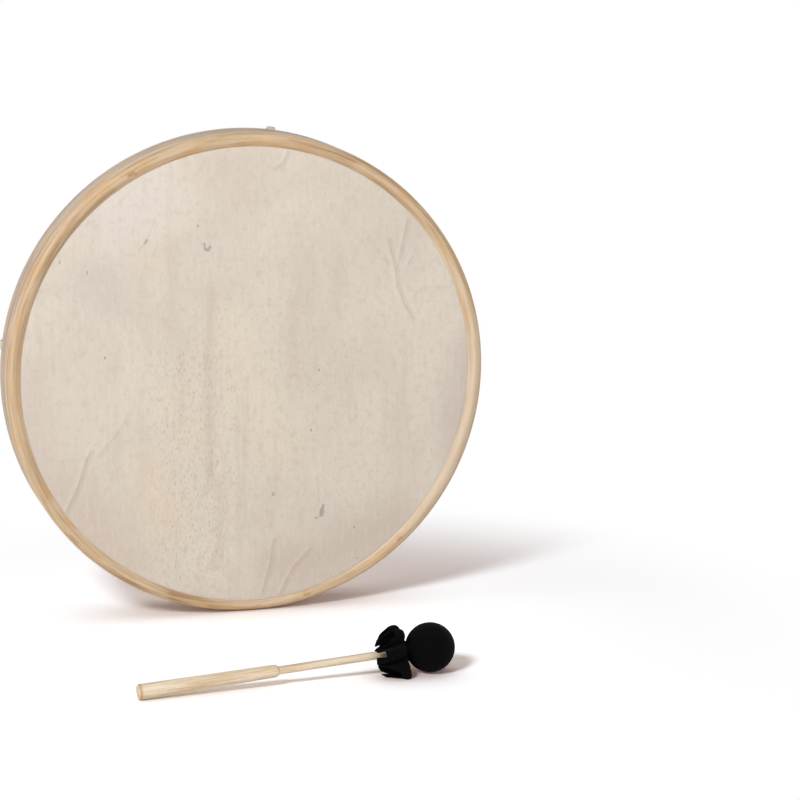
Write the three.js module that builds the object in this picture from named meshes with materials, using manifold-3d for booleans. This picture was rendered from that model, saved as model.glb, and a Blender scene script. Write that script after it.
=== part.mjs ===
// A hand-held frame drum with its beater, at real size in millimetres, +Z up.
// The drum stands on its rim with its axis along Y: the skin faces -Y, the open back faces +Y.
// The origin is the middle of the hand grip, where the two laces cross behind the skin.
import * as THREE from 'three';
import { mergeVertices } from 'three/addons/utils/BufferGeometryUtils.js';
import Module from 'manifold-3d';

const wasm = await Module();
wasm.setup();

// Driving sizes of the drum
const drumDiameter = 500;
const drumDepth = 56;
const wallThickness = 16;
const ringDepth = 20.5;
const ringLipReach = 5.5;
const ringCrestFromOutside = 7;
const ringInnerFall = 3.2;
const ringOuterRound = 5;
const ringSeamChamfer = 0.8;
const skinDepth = 4;
const skinThickness = 0.8;
const fleshHoopWidth = 7.2;
const fleshHoopBackGap = 2.3;
const fleshHoopRound = 2;
const backOuterRound = 5;
const backInnerRound = 3;

// Driving sizes of the laces and their slots
const crossTurnDegrees = 8.2;
const laceWidth = 7.2;
const laceThickness = 2.8;
const laceEdgeCut = 1.0;
const slotBeyondRound = 1.7;
const slotSlantDepth = 3;
const slotSideRoom = 1.3;
const slotFlatRoom = 0.4;
const crossOverRoom = 4.4;
const crossOverLength = 8;
const knotDiameter = 10.6;
const knotLength = 7.6;
const knotLobes = 3;
const knotLobeDepth = 0.1;
const knotEndCut = 0.8;
const knotTwist = 2;
const topTailLength = 19;
const bottomTailLength = 5;
const leftTailLength = 14;
const rightTailLength = 12;
const tailSideways = { top: -0.3, bottom: 0.35, left: 0.45, right: 0.25 };
const tailForwards = 0.45;

// Driving sizes of the wound grip
const hubDiameter = 39;
const hubHeight = 20;
const hubSquareness = 0.04;
const hubFullness = 2.3;
const hubCord = 1.4;
const hubTurnGap = 0.6;
const hubEyeRadius = 3.4;
const hubEndTuck = 0.9;
const hubTuckSteps = 1.5;
const hubLaceRoom = 0.9;
const armCord = 1.8;
const armTurnGap = 0.6;
const topArmReach = 64;
const bottomArmReach = 72;
const leftArmReach = 66;
const rightArmReach = 63;
const armSideRoom = 0.4;
const armFlatRoom = 0.9;

// Driving sizes of the beater
const beaterReach = 291.6;
const headDiameter = 48.6;
const handleEndDiameter = 15.2;
const handleFrontDiameter = 12.6;
const handleLength = 138;
const handleShoulderRound = 5;
const handleEndChamfer = 2.6;
const shaftBackDiameter = 8.2;
const shaftFrontDiameter = 7.7;
const shaftIntoHead = 12;
const clothThickness = 1.6;
const gatherThickness = 5.4;
const frillDiameter = 58;
const frillTurnDegrees = 150;
const frillForwards = 8;
const frillBackwards = 12;
const frillFolds = 6;
const frillFoldAlong = 4;
const frillFoldAcross = 5;
const tieCord = 1.4;
const tieLoops = 2;
const tieTurnGap = 0.6;
const tieEndRoom = 0.8;
const beaterLeftOfDrum = 171.9;
const beaterBeforeDrum = 276.6;
const beaterHeadingDegrees = 3.4;

// Clearances
const seat = 0.3;
const leastTurnGap = 0.4;

// Facet counts
const rimSegments = 64;
const rimArcSteps = 2;
const skinArcSteps = 1;
const laceArcSteps = 3;
const knotRows = 4;
const knotSidesPerLobe = 4;
const turnedArcSteps = 3;
const turnedSegments = 24;
const hubSegments = 24;
const hubRows = 10;
const armStepsPerLoop = 8;
const hubStepsPerLoop = 14;
const hubLinkSteps = 6;
const tieStepsPerLoop = 14;
const cordSides = 4;
const clothSegments = frillFolds * 6;
const headRows = 8;
const frillRows = 5;

// Places worked out from the driving sizes
const rimRadius = drumDiameter / 2;
const innerRadius = rimRadius - wallThickness;
const laceLift = seat + laceThickness / 2;
const backY = -laceLift;
const frontY = backY - drumDepth;
const shellFront = ringDepth + seat + skinThickness + seat;
const slotFromBack = backOuterRound + laceThickness / 2 + slotFlatRoom + slotBeyondRound;
const crossTurn = THREE.MathUtils.degToRad(crossTurnDegrees);
const crossOverStart = laceWidth / 2 + crossOverRoom;
const crossOverEnd = crossOverStart + crossOverLength;
const laceRimRadius = rimRadius + seat + laceThickness;
const floorZ = -Math.max(rimRadius, laceRimRadius * Math.cos(crossTurn));
const armQuarters = { top: 0, right: 1, bottom: 2, left: 3 };
const tailLengths = {
  top: topTailLength,
  bottom: bottomTailLength,
  left: leftTailLength,
  right: rightTailLength,
};
const armReaches = {
  top: topArmReach,
  bottom: bottomArmReach,
  left: leftArmReach,
  right: rightArmReach,
};

// Solids

// Keeps positions only, merges shared corners and turns the faces outwards.
function closed(geometry) {
  const bare = geometry.clone();
  bare.deleteAttribute('normal');
  bare.deleteAttribute('uv');
  const merged = mergeVertices(bare, 1e-4);
  const index = [];
  const source = merged.index.array;
  for (let i = 0; i < source.length; i += 3) {
    const [a, b, c] = [source[i], source[i + 1], source[i + 2]];
    if (a !== b && b !== c && c !== a) index.push(a, b, c);
  }
  if (signedVolume(merged.attributes.position, index) < 0) index.reverse();
  merged.setIndex(index);
  return merged;
}

function signedVolume(position, index) {
  const [a, b, c] = [new THREE.Vector3(), new THREE.Vector3(), new THREE.Vector3()];
  let sum = 0;
  for (let i = 0; i < index.length; i += 3) {
    a.fromBufferAttribute(position, index[i]);
    b.fromBufferAttribute(position, index[i + 1]);
    c.fromBufferAttribute(position, index[i + 2]);
    sum += a.dot(b.cross(c)) / 6;
  }
  return sum;
}

function toManifold(geometry) {
  const solid = closed(geometry);
  return new wasm.Manifold(new wasm.Mesh({
    numProp: 3,
    vertProperties: new Float32Array(solid.attributes.position.array),
    triVerts: new Uint32Array(solid.index.array),
  }));
}

function fromManifold(manifold) {
  const mesh = manifold.getMesh();
  const geometry = new THREE.BufferGeometry();
  geometry.setAttribute('position', new THREE.BufferAttribute(new Float32Array(mesh.vertProperties), 3));
  geometry.setIndex([...mesh.triVerts]);
  return geometry;
}

function cut(geometry, tools) {
  return fromManifold(tools.reduce((body, tool) => body.subtract(toManifold(tool)), toManifold(geometry)));
}

function join(geometry, others) {
  return fromManifold(others.reduce((body, other) => body.add(toManifold(other)), toManifold(geometry)));
}

// Joins rings of equal point count into one closed skin. A pole closes an end in a point.
function loft(rings, startPole, endPole) {
  const count = rings[0].length;
  const points = rings.flat();
  const index = [];
  for (let i = 0; i + 1 < rings.length; i += 1) {
    for (let j = 0; j < count; j += 1) {
      const a = i * count + j;
      const b = i * count + ((j + 1) % count);
      index.push(a, b, b + count, a, b + count, a + count);
    }
  }
  const last = (rings.length - 1) * count;
  points.push(startPole, endPole);
  for (let j = 0; j < count; j += 1) {
    const next = (j + 1) % count;
    index.push(points.length - 2, next, j);
    index.push(points.length - 1, last + j, last + next);
  }
  const geometry = new THREE.BufferGeometry().setFromPoints(points);
  geometry.setIndex(index);
  return closed(geometry);
}

// What `make` gives at each of `count` equal steps of one turn.
function around(count, make) {
  return Array.from({ length: count }, (_, i) => make((2 * Math.PI * i) / count));
}

// Sweeps a flat section along points. Its first direction stays as near to `across` as the points let it.
function sweep(points, section, across) {
  const rings = points.map((point, i) => {
    const before = points[Math.max(i - 1, 0)];
    const after = points[Math.min(i + 1, points.length - 1)];
    const along = new THREE.Vector3().subVectors(after, before).normalize();
    const side = across.clone().addScaledVector(along, -across.dot(along)).normalize();
    const up = new THREE.Vector3().crossVectors(along, side);
    const place = (corner) => point.clone().addScaledVector(side, corner.x).addScaledVector(up, corner.y);
    return section.map(place);
  });
  return loft(rings, points[0].clone(), points[points.length - 1].clone());
}

function roundSection(diameter, sides) {
  const radius = diameter / 2;
  return around(sides, (angle) => new THREE.Vector2(radius * Math.cos(angle), radius * Math.sin(angle)));
}

// A cord along points, whose two ends run straight for one more diameter.
function woundCord(name, points, diameter, stepsPerLoop, across) {
  const straight = (from, to) => new THREE.Vector3().subVectors(to, from).setLength(diameter).add(to);
  const whole = [straight(points[1], points[0]), ...points, straight(points.at(-2), points.at(-1))];
  const gap = leastGap(whole, diameter, stepsPerLoop);
  console.log(`${name}: least gap between turns ${gap.toFixed(2)} mm, wanted over ${leastTurnGap} mm`);
  return sweep(whole, roundSection(diameter, cordSides), across);
}

function leastGap(points, diameter, stepsPerLoop) {
  let least = Infinity;
  const apart = Math.ceil(stepsPerLoop / 2);
  for (let i = 0; i < points.length; i += 1) {
    for (let j = i + apart; j < points.length; j += 1) {
      least = Math.min(least, points[i].distanceTo(points[j]));
    }
  }
  return least - diameter;
}

// A ring or disc turned about the drum's axis, from a profile of radius against depth behind the front.
function turnedAboutDrum(profile, arcSteps) {
  const points = profile.getPoints(arcSteps).map((p) => new THREE.Vector2(Math.max(p.x, 0), frontY + p.y));
  return closed(new THREE.LatheGeometry(points, rimSegments));
}

// Drum rim, from back to front

function shellProfile() {
  const outer = rimRadius - backOuterRound;
  const inner = innerRadius + backInnerRound;
  const profile = new THREE.Path();
  profile.moveTo(innerRadius, shellFront);
  profile.lineTo(rimRadius, shellFront);
  profile.lineTo(rimRadius, drumDepth - backOuterRound);
  profile.absarc(outer, drumDepth - backOuterRound, backOuterRound, 0, Math.PI / 2, false);
  profile.lineTo(inner, drumDepth);
  profile.absarc(inner, drumDepth - backInnerRound, backInnerRound, Math.PI / 2, Math.PI, false);
  profile.lineTo(innerRadius, shellFront);
  return profile;
}

// The slot's middle line: its height at a radius, measured as y.
function slotY(radius) {
  return backY - slotFromBack + ((radius - rimRadius) * slotSlantDepth) / wallThickness;
}

function slotTool() {
  const halfHeight = laceThickness / 2 + slotFlatRoom;
  const halfWidth = laceWidth / 2 + slotSideRoom;
  const shape = new THREE.Shape();
  shape.absarc(halfWidth - halfHeight, 0, halfHeight, -Math.PI / 2, Math.PI / 2, false);
  shape.absarc(halfHeight - halfWidth, 0, halfHeight, Math.PI / 2, 1.5 * Math.PI, false);
  const reach = wallThickness / 2 + knotLength;
  const settings = { depth: 2 * reach, bevelEnabled: false, curveSegments: 2 * laceArcSteps };
  const geometry = new THREE.ExtrudeGeometry(shape, settings);
  geometry.translate(0, 0, -reach);
  geometry.rotateX(-Math.atan(slotSlantDepth / wallThickness));
  const middle = (rimRadius + innerRadius) / 2;
  geometry.translate(0, slotY(middle), middle);
  return geometry;
}

// Moves a thing made for the top arm, along +Z, to one of the four arms of the turned cross.
function toArm(geometry, arm) {
  return geometry.clone().rotateY(crossTurn + (armQuarters[arm] * Math.PI) / 2);
}

function shellHoop() {
  const slots = Object.keys(armQuarters).map((arm) => toArm(slotTool(), arm));
  return cut(turnedAboutDrum(shellProfile(), rimArcSteps), slots);
}

// Where the skin turns down over the flesh hoop, and out under the clamp ring
const fleshHoopOuter = innerRadius + fleshHoopWidth;
const fleshHoopFront = skinDepth + skinThickness + seat;
const skinWallInner = fleshHoopOuter + seat;
const skinWallOuter = skinWallInner + skinThickness;
const skinFlangeFront = ringDepth + seat;
const skinFlangeBack = skinFlangeFront + skinThickness;
const fleshHoopBack = shellFront - fleshHoopBackGap;

function fleshHoopProfile() {
  const corner = fleshHoopOuter - fleshHoopRound;
  const profile = new THREE.Path();
  profile.moveTo(innerRadius, fleshHoopFront);
  profile.lineTo(corner, fleshHoopFront);
  profile.absarc(corner, fleshHoopFront + fleshHoopRound, fleshHoopRound, -Math.PI / 2, 0, false);
  profile.lineTo(fleshHoopOuter, fleshHoopBack);
  profile.lineTo(innerRadius, fleshHoopBack);
  profile.lineTo(innerRadius, fleshHoopFront);
  return profile;
}

function skinProfile() {
  const corner = fleshHoopOuter - fleshHoopRound;
  const bendDepth = fleshHoopFront + fleshHoopRound;
  const innerBend = fleshHoopRound + seat;
  const outerBend = innerBend + skinThickness;
  const profile = new THREE.Path();
  profile.moveTo(0, skinDepth);
  profile.lineTo(corner, skinDepth);
  profile.absarc(corner, bendDepth, outerBend, -Math.PI / 2, 0, false);
  profile.lineTo(skinWallOuter, skinFlangeFront);
  profile.lineTo(rimRadius, skinFlangeFront);
  profile.lineTo(rimRadius, skinFlangeBack);
  profile.lineTo(skinWallInner, skinFlangeBack);
  profile.lineTo(skinWallInner, bendDepth);
  profile.absarc(corner, bendDepth, innerBend, 0, -Math.PI / 2, true);
  profile.lineTo(0, skinDepth + skinThickness);
  return profile;
}

function clampRingProfile() {
  const crest = rimRadius - ringCrestFromOutside;
  const rebate = skinWallOuter + seat;
  const lipInner = rebate - ringLipReach;
  const lipBack = skinDepth - seat;
  const outwards = rimRadius - crest;
  const profile = new THREE.Path();
  profile.moveTo(lipInner, lipBack);
  profile.lineTo(lipInner, ringInnerFall);
  profile.quadraticCurveTo((lipInner + crest) / 2, 0, crest, 0);
  profile.absellipse(crest, ringOuterRound, outwards, ringOuterRound, 1.5 * Math.PI, 2 * Math.PI, false, 0);
  profile.lineTo(rimRadius, ringDepth - ringSeamChamfer);
  profile.lineTo(rimRadius - ringSeamChamfer, ringDepth);
  profile.lineTo(rebate, ringDepth);
  profile.lineTo(rebate, lipBack);
  profile.lineTo(lipInner, lipBack);
  return profile;
}

// Laces

function laceSection(room) {
  const w = laceWidth / 2 + room;
  const t = laceThickness / 2 + room;
  const c = laceEdgeCut;
  return [[w, c - t], [w, t - c], [w - c, t], [c - w, t], [-w, t - c], [-w, c - t], [c - w, -t], [w - c, -t]]
    .map(([x, y]) => new THREE.Vector2(x, y));
}

// One half of a lace as radius against y: from the crossing, over the back edge and in through its slot.
// `over` is 1 for the lace that crosses behind the other, seen from the skin, and -1 for the other.
function halfLaceRoute(over) {
  const crossing = (over * (laceThickness + seat)) / 2;
  const slant = Math.atan(slotSlantDepth / wallThickness);
  const edge = rimRadius - backOuterRound;
  const edgeBend = backOuterRound + laceLift;
  const fold = laceThickness / 2 + slotFlatRoom;
  const foldRadius = laceRimRadius - laceThickness / 2 - fold;
  const foldEnd = foldRadius + fold * Math.sin(slant);
  const foldY = slotY(foldEnd) + fold * Math.cos(slant);
  const route = new THREE.Path();
  route.moveTo(0, crossing);
  route.lineTo(crossOverStart, crossing);
  const middle = (crossOverStart + crossOverEnd) / 2;
  route.bezierCurveTo(middle, crossing, middle, 0, crossOverEnd, 0);
  route.lineTo(edge, 0);
  route.absarc(edge, -edgeBend, edgeBend, Math.PI / 2, 0, true);
  route.lineTo(foldRadius + fold, foldY);
  route.absarc(foldRadius, foldY, fold, 0, slant - Math.PI / 2, true);
  route.lineTo(innerRadius, slotY(innerRadius));
  return route;
}

// The same half as points of the top arm, with the knot and the free tail inside the shell.
function halfLacePoints(arm, over) {
  const points = halfLaceRoute(over).getPoints(laceArcSteps).map((p) => new THREE.Vector3(0, p.y, p.x));
  const knotEnd = innerRadius - seat - knotLength;
  points.push(new THREE.Vector3(0, slotY(knotEnd), knotEnd));
  const tail = tailLengths[arm];
  const heading = new THREE.Vector3(tailSideways[arm], -tailForwards, -1).setLength(tail / 2);
  points.push(points.at(-1).clone().add(heading));
  points.push(points.at(-1).clone().add(heading));
  return points;
}

function lacePoints(firstArm, secondArm, over) {
  const turnTo = (points, arm) => {
    const angle = crossTurn + (armQuarters[arm] * Math.PI) / 2;
    return points.map((p) => p.clone().applyAxisAngle(new THREE.Vector3(0, 1, 0), angle));
  };
  const first = turnTo(halfLacePoints(firstArm, over), firstArm);
  const second = turnTo(halfLacePoints(secondArm, over), secondArm);
  return [...first.reverse(), ...second.slice(1)];
}

function acrossLace(firstArm) {
  const angle = crossTurn + (armQuarters[firstArm] * Math.PI) / 2;
  return new THREE.Vector3(1, 0, 0).applyAxisAngle(new THREE.Vector3(0, 1, 0), angle);
}

// A tightened stopper knot: a short bulb of twisted lobes against the shell's inner wall.
function stopperKnot() {
  const rings = Array.from({ length: knotRows + 1 }, (_, i) => {
    const share = i / knotRows;
    const fullness = Math.sqrt(1 - (knotEndCut * (2 * share - 1)) ** 2);
    const radius = innerRadius - seat - knotLength * share;
    return around(knotLobes * knotSidesPerLobe, (angle) => {
      const lobe = 1 - knotLobeDepth + knotLobeDepth * Math.cos(knotLobes * angle + knotTwist * share);
      const r = (knotDiameter / 2) * fullness * lobe;
      return new THREE.Vector3(r * Math.cos(angle), slotY(radius) + r * Math.sin(angle), radius);
    });
  });
  const middleOf = (ring, radius) => new THREE.Vector3(0, slotY(radius), radius);
  return loft(rings, middleOf(rings[0], rings[0][0].z), middleOf(rings.at(-1), rings.at(-1)[0].z));
}

function lace(firstArm, secondArm, over) {
  const strip = sweep(lacePoints(firstArm, secondArm, over), laceSection(0), acrossLace(firstArm));
  return join(strip, [toArm(stopperKnot(), firstArm), toArm(stopperKnot(), secondArm)]);
}

function laceChannel(firstArm, secondArm, over) {
  const end = hubDiameter;
  const half = halfLaceRoute(over).getPoints(laceArcSteps).filter((p) => p.x <= crossOverEnd);
  half.push(new THREE.Vector2(end, 0));
  const angle = crossTurn + (armQuarters[firstArm] * Math.PI) / 2;
  const axis = new THREE.Vector3(0, 1, 0);
  const points = half.map((p) => new THREE.Vector3(0, p.y, p.x).applyAxisAngle(axis, angle));
  const other = half.slice(1).map((p) => new THREE.Vector3(0, p.y, -p.x).applyAxisAngle(axis, angle));
  return sweep([...points.reverse(), ...other], laceSection(seat), acrossLace(firstArm));
}

// Wound grip

// The hub's outline from its back pole to its front pole, grown outwards by `room`.
class HubMeridian extends THREE.Curve {
  constructor(room) {
    super();
    this.radius = hubDiameter / 2 - hubCord - seat + room;
    this.height = hubHeight / 2 - hubCord - seat + room;
  }

  getPoint(t, target = new THREE.Vector3()) {
    const angle = Math.PI * t;
    const power = 2 / hubFullness;
    const y = Math.sign(Math.cos(angle)) * Math.abs(Math.cos(angle)) ** power;
    return target.set(this.radius * Math.abs(Math.sin(angle)) ** power, this.height * y, 0);
  }
}

// A point of the hub at an angle about the drum's axis: slightly squared, with its corners at the arms.
function hubPoint(radius, y, angle) {
  const squared = radius * (1 + hubSquareness * Math.cos(4 * (angle - crossTurn)));
  return new THREE.Vector3(squared * Math.sin(angle), y, squared * Math.cos(angle));
}

function gripCore() {
  const meridian = new HubMeridian(0);
  const rings = [];
  for (let i = 1; i < hubRows; i += 1) {
    const p = meridian.getPointAt(i / hubRows);
    rings.push(around(hubSegments, (angle) => hubPoint(p.x, p.y, angle)));
  }
  const height = meridian.height;
  const body = loft(rings, new THREE.Vector3(0, height, 0), new THREE.Vector3(0, -height, 0));
  return cut(body, [laceChannel('top', 'bottom', 1), laceChannel('left', 'right', -1)]);
}

// One cord: a spiral out over the back face, down between two arms, and in again over the front face.
function gripWinding() {
  const meridian = new HubMeridian(seat + hubCord / 2);
  const length = meridian.getLength();
  const pitch = hubCord + hubTurnGap;
  const besideLace = length / 2 - laceThickness / 2 - hubLaceRoom - hubCord / 2;
  const loops = Math.floor((besideLace - hubEyeRadius) / pitch);
  const start = hubEyeRadius / length;
  const end = start + (loops * pitch) / length;
  const linkTurn = Math.PI / 4;
  const linkStart = crossTurn + Math.PI / 8;
  const points = [];
  const steps = loops * hubStepsPerLoop;
  const inwardHook = (i) => hubEndTuck * Math.exp(-i / hubTuckSteps);
  for (let i = 0; i <= steps; i += 1) {
    const along = start + ((end - start) * i) / steps - inwardHook(i) / length;
    const p = meridian.getPointAt(along);
    points.push(hubPoint(p.x, p.y, linkStart - ((steps - i) * 2 * Math.PI) / hubStepsPerLoop));
  }
  for (let i = 1; i < hubLinkSteps; i += 1) {
    const smooth = THREE.MathUtils.smoothstep(i / hubLinkSteps, 0, 1);
    const p = meridian.getPointAt(THREE.MathUtils.lerp(end, 1 - end, smooth));
    points.push(hubPoint(p.x, p.y, linkStart + (linkTurn * i) / hubLinkSteps));
  }
  for (let i = 0; i <= steps; i += 1) {
    const along = 1 - end + ((end - start) * i) / steps + inwardHook(steps - i) / length;
    const p = meridian.getPointAt(along);
    points.push(hubPoint(p.x, p.y, linkStart + linkTurn + (i * 2 * Math.PI) / hubStepsPerLoop));
  }
  return woundCord('grip_winding', points, hubCord, hubStepsPerLoop, new THREE.Vector3(0, 1, 0));
}

// A cord wound round one lace, from beside the hub outwards.
function armWinding(arm) {
  const inner = (hubDiameter / 2) * (1 + hubSquareness) + armCord;
  const outer = armReaches[arm] - armCord / 2;
  const halfWidth = laceWidth / 2 + armSideRoom + armCord / 2;
  const halfThickness = laceThickness / 2 + armFlatRoom + armCord / 2;
  const loops = Math.floor((outer - inner) / (armCord + armTurnGap));
  const points = [];
  const steps = loops * armStepsPerLoop;
  for (let i = 0; i <= steps; i += 1) {
    const angle = (2 * Math.PI * i) / armStepsPerLoop;
    const radius = THREE.MathUtils.lerp(inner, outer, i / steps);
    points.push(new THREE.Vector3(halfWidth * Math.cos(angle), halfThickness * Math.sin(angle), radius));
  }
  const cord = woundCord(`arm_winding_${arm}`, points, armCord, armStepsPerLoop, new THREE.Vector3(0, 0, 1));
  return toArm(cord, arm);
}

// Beater, made along +Z from its handle end and laid down afterwards

const headRadius = headDiameter / 2;
const handleEndRadius = handleEndDiameter / 2;
const shaftEnd = beaterReach + shaftIntoHead;
const neckRadius = shaftRadius(beaterReach - headRadius) + seat + gatherThickness;
const neckFront = beaterReach - Math.sqrt(headRadius ** 2 - neckRadius ** 2);
const tieLength = tieLoops * (tieCord + tieTurnGap);
const neckBack = neckFront - tieLength - tieCord - 2 * tieEndRoom;
const restReach = beaterReach - handleEndChamfer;
const headRise = Math.asin(headRadius / Math.hypot(restReach, handleEndRadius));
const beaterTilt = headRise - Math.atan2(handleEndRadius, restReach);

function shaftRadius(along) {
  const share = (along - handleLength) / (shaftEnd - handleLength);
  return THREE.MathUtils.lerp(shaftBackDiameter, shaftFrontDiameter, share) / 2;
}

function turned(points, segments) {
  return closed(new THREE.LatheGeometry(points, segments)).rotateX(Math.PI / 2);
}

// Radius and place along the beater of the head's rows, from its tip to where it meets a bore.
function headRow(radius, boreRadius, row) {
  const angle = ((Math.PI - Math.asin(boreRadius / radius)) * row) / headRows;
  return new THREE.Vector2(radius * Math.sin(angle), beaterReach + radius * Math.cos(angle));
}

function beaterStick() {
  const front = handleFrontDiameter / 2;
  const round = Math.min(handleShoulderRound, handleLength / 4);
  const fall = front - shaftRadius(handleLength);
  const profile = new THREE.Path();
  profile.moveTo(0, 0);
  profile.lineTo(handleEndRadius - handleEndChamfer, 0);
  profile.lineTo(handleEndRadius, handleEndChamfer);
  profile.lineTo(front, handleLength - round);
  profile.absellipse(front - fall, handleLength - round, fall, round, 0, Math.PI / 2, false, 0);
  profile.lineTo(shaftRadius(shaftEnd), shaftEnd);
  profile.lineTo(0, shaftEnd);
  return turned(profile.getPoints(turnedArcSteps), turnedSegments);
}

function beaterPadding() {
  const radius = headRadius - clothThickness - seat;
  const bore = shaftRadius(beaterReach - radius) + seat;
  const points = Array.from({ length: headRows + 1 }, (_, row) => headRow(radius, bore, row));
  points.push(new THREE.Vector2(bore, shaftEnd + seat), new THREE.Vector2(0, shaftEnd + seat));
  return turned(points, clothSegments);
}

// How far the surface under the lying beater is from its axis.
function floorUnder(along) {
  return handleEndRadius + (along - handleEndChamfer) * Math.tan(beaterTilt);
}

// The frill's outer face: `out` runs from 0 at the neck, over the widest ring, to 1 at the hem.
function frillPoint(out, angle) {
  const turn = out * THREE.MathUtils.degToRad(frillTurnDegrees);
  const fold = frillFolds * angle;
  const spread = (frillDiameter / 2 - neckRadius) * Math.sin(turn) + frillFoldAcross * out * Math.cos(fold);
  const radius = neckRadius + spread;
  const backwards = frillBackwards * (1 - Math.cos(turn)) + frillFoldAlong * out * Math.sin(fold);
  const along = neckBack + frillForwards * Math.sin(turn) - backwards;
  const height = Math.max(radius * Math.sin(angle), seat - floorUnder(along));
  return new THREE.Vector3(radius * Math.cos(angle), height, along);
}

function frillInnerPoint(out, angle) {
  const step = 1e-3;
  const alongHem = frillPoint(out, angle + step).sub(frillPoint(out, angle - step));
  const outwards = frillPoint(out + step, angle).sub(frillPoint(out - step, angle));
  const inward = new THREE.Vector3().crossVectors(alongHem, outwards).setLength(clothThickness);
  return frillPoint(out, angle).add(inward);
}

// One cloth: closed over the head, gathered at the neck round the shaft, and spread out as a frill.
function beaterCover() {
  const circle = (radius, along) => around(clothSegments, (angle) => {
    return new THREE.Vector3(radius * Math.cos(angle), radius * Math.sin(angle), along);
  });
  const frillRing = (i, make) => around(clothSegments, (a) => make(i / frillRows, a));
  const inside = headRadius - clothThickness;
  const bore = shaftRadius(neckBack - clothThickness) + seat;
  const rings = [];
  for (let row = 1; row <= headRows; row += 1) {
    const place = headRow(headRadius, neckRadius, row);
    rings.push(circle(place.x, place.y));
  }
  rings.push(circle(neckRadius, neckBack));
  for (let i = 1; i <= frillRows; i += 1) rings.push(frillRing(i, frillPoint));
  for (let i = frillRows; i > 1; i -= 1) rings.push(frillRing(i, frillInnerPoint));
  rings.push(circle(bore, neckBack - clothThickness));
  for (let row = headRows; row >= 1; row -= 1) {
    const place = headRow(inside, bore, row);
    rings.push(circle(place.x, place.y));
  }
  const tip = new THREE.Vector3(0, 0, beaterReach + headRadius);
  const insideTip = new THREE.Vector3(0, 0, beaterReach + inside);
  return loft(rings, tip, insideTip);
}

function beaterTie() {
  const radius = neckRadius + seat + tieCord / 2;
  const middle = (neckFront + neckBack) / 2;
  const points = [];
  const steps = tieLoops * tieStepsPerLoop;
  for (let i = 0; i <= steps; i += 1) {
    const angle = (2 * Math.PI * i) / tieStepsPerLoop;
    const along = middle + tieLength * (i / steps - 0.5);
    points.push(new THREE.Vector3(radius * Math.cos(angle), radius * Math.sin(angle), along));
  }
  return woundCord('beater_tie', points, tieCord, tieStepsPerLoop, new THREE.Vector3(0, 0, 1));
}

// Materials

function finish(colour, roughness) {
  return new THREE.MeshStandardMaterial({ color: colour, roughness, metalness: 0 });
}

const paleWood = () => finish(0xd9b98f, 0.6);
const turnedWood = () => finish(0xe1cda5, 0.6);
const hide = () => finish(0xd7cbc0, 0.7);
const leather = () => finish(0xd6b894, 0.75);
const cotton = () => finish(0xdedad6, 0.9);
const blackCloth = () => finish(0x101010, 0.95);
const felt = () => finish(0x8a8378, 0.95);

// Assembly

function part(name, geometry, material) {
  const mesh = new THREE.Mesh(geometry, material);
  mesh.name = name;
  return mesh;
}

const drum = new THREE.Group();
drum.add(part('shell_hoop', shellHoop(), paleWood()));
drum.add(part('flesh_hoop', turnedAboutDrum(fleshHoopProfile(), skinArcSteps), paleWood()));
drum.add(part('drum_skin', turnedAboutDrum(skinProfile(), skinArcSteps), hide()));
drum.add(part('clamp_ring', turnedAboutDrum(clampRingProfile(), rimArcSteps), paleWood()));
drum.add(part('lace_upright', lace('top', 'bottom', 1), leather()));
drum.add(part('lace_level', lace('left', 'right', -1), leather()));
drum.add(part('grip_core', gripCore(), cotton()));
drum.add(part('grip_winding', gripWinding(), cotton()));
for (const arm of Object.keys(armQuarters)) drum.add(part(`arm_winding_${arm}`, armWinding(arm), cotton()));

// The beater lies on the same surface as the drum, on its handle end and its head.
const beater = new THREE.Group();
beater.add(part('beater_stick', beaterStick(), turnedWood()));
beater.add(part('beater_padding', beaterPadding(), felt()));
beater.add(part('beater_cover', beaterCover(), blackCloth()));
beater.add(part('beater_tie', beaterTie(), blackCloth()));
const heading = THREE.MathUtils.degToRad(beaterHeadingDegrees);
const level = new THREE.Vector3(Math.cos(heading), Math.sin(heading), 0);
const alongBeater = level.clone().multiplyScalar(Math.cos(beaterTilt)).setZ(Math.sin(beaterTilt));
const overBeater = level.clone().multiplyScalar(-Math.sin(beaterTilt)).setZ(Math.cos(beaterTilt));
const acrossBeater = new THREE.Vector3().crossVectors(overBeater, alongBeater);
beater.quaternion.setFromRotationMatrix(new THREE.Matrix4().makeBasis(acrossBeater, overBeater, alongBeater));
const handleLift = handleEndRadius * Math.cos(beaterTilt) - handleEndChamfer * Math.sin(beaterTilt);
beater.position.set(-beaterLeftOfDrum, frontY - beaterBeforeDrum, floorZ + handleLift);

const assembly = new THREE.Group();
assembly.add(drum, beater);
export default assembly;
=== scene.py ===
"""A hand-held frame drum and its beater on a pale floor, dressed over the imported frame."""

import random
from bisect import bisect_left
from math import asin, atan, atan2, copysign, cos, degrees, dist, exp, hypot, inf
from math import pi, radians, sin, sqrt, tan, tau

import bpy
from mathutils import Matrix, Vector


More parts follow.
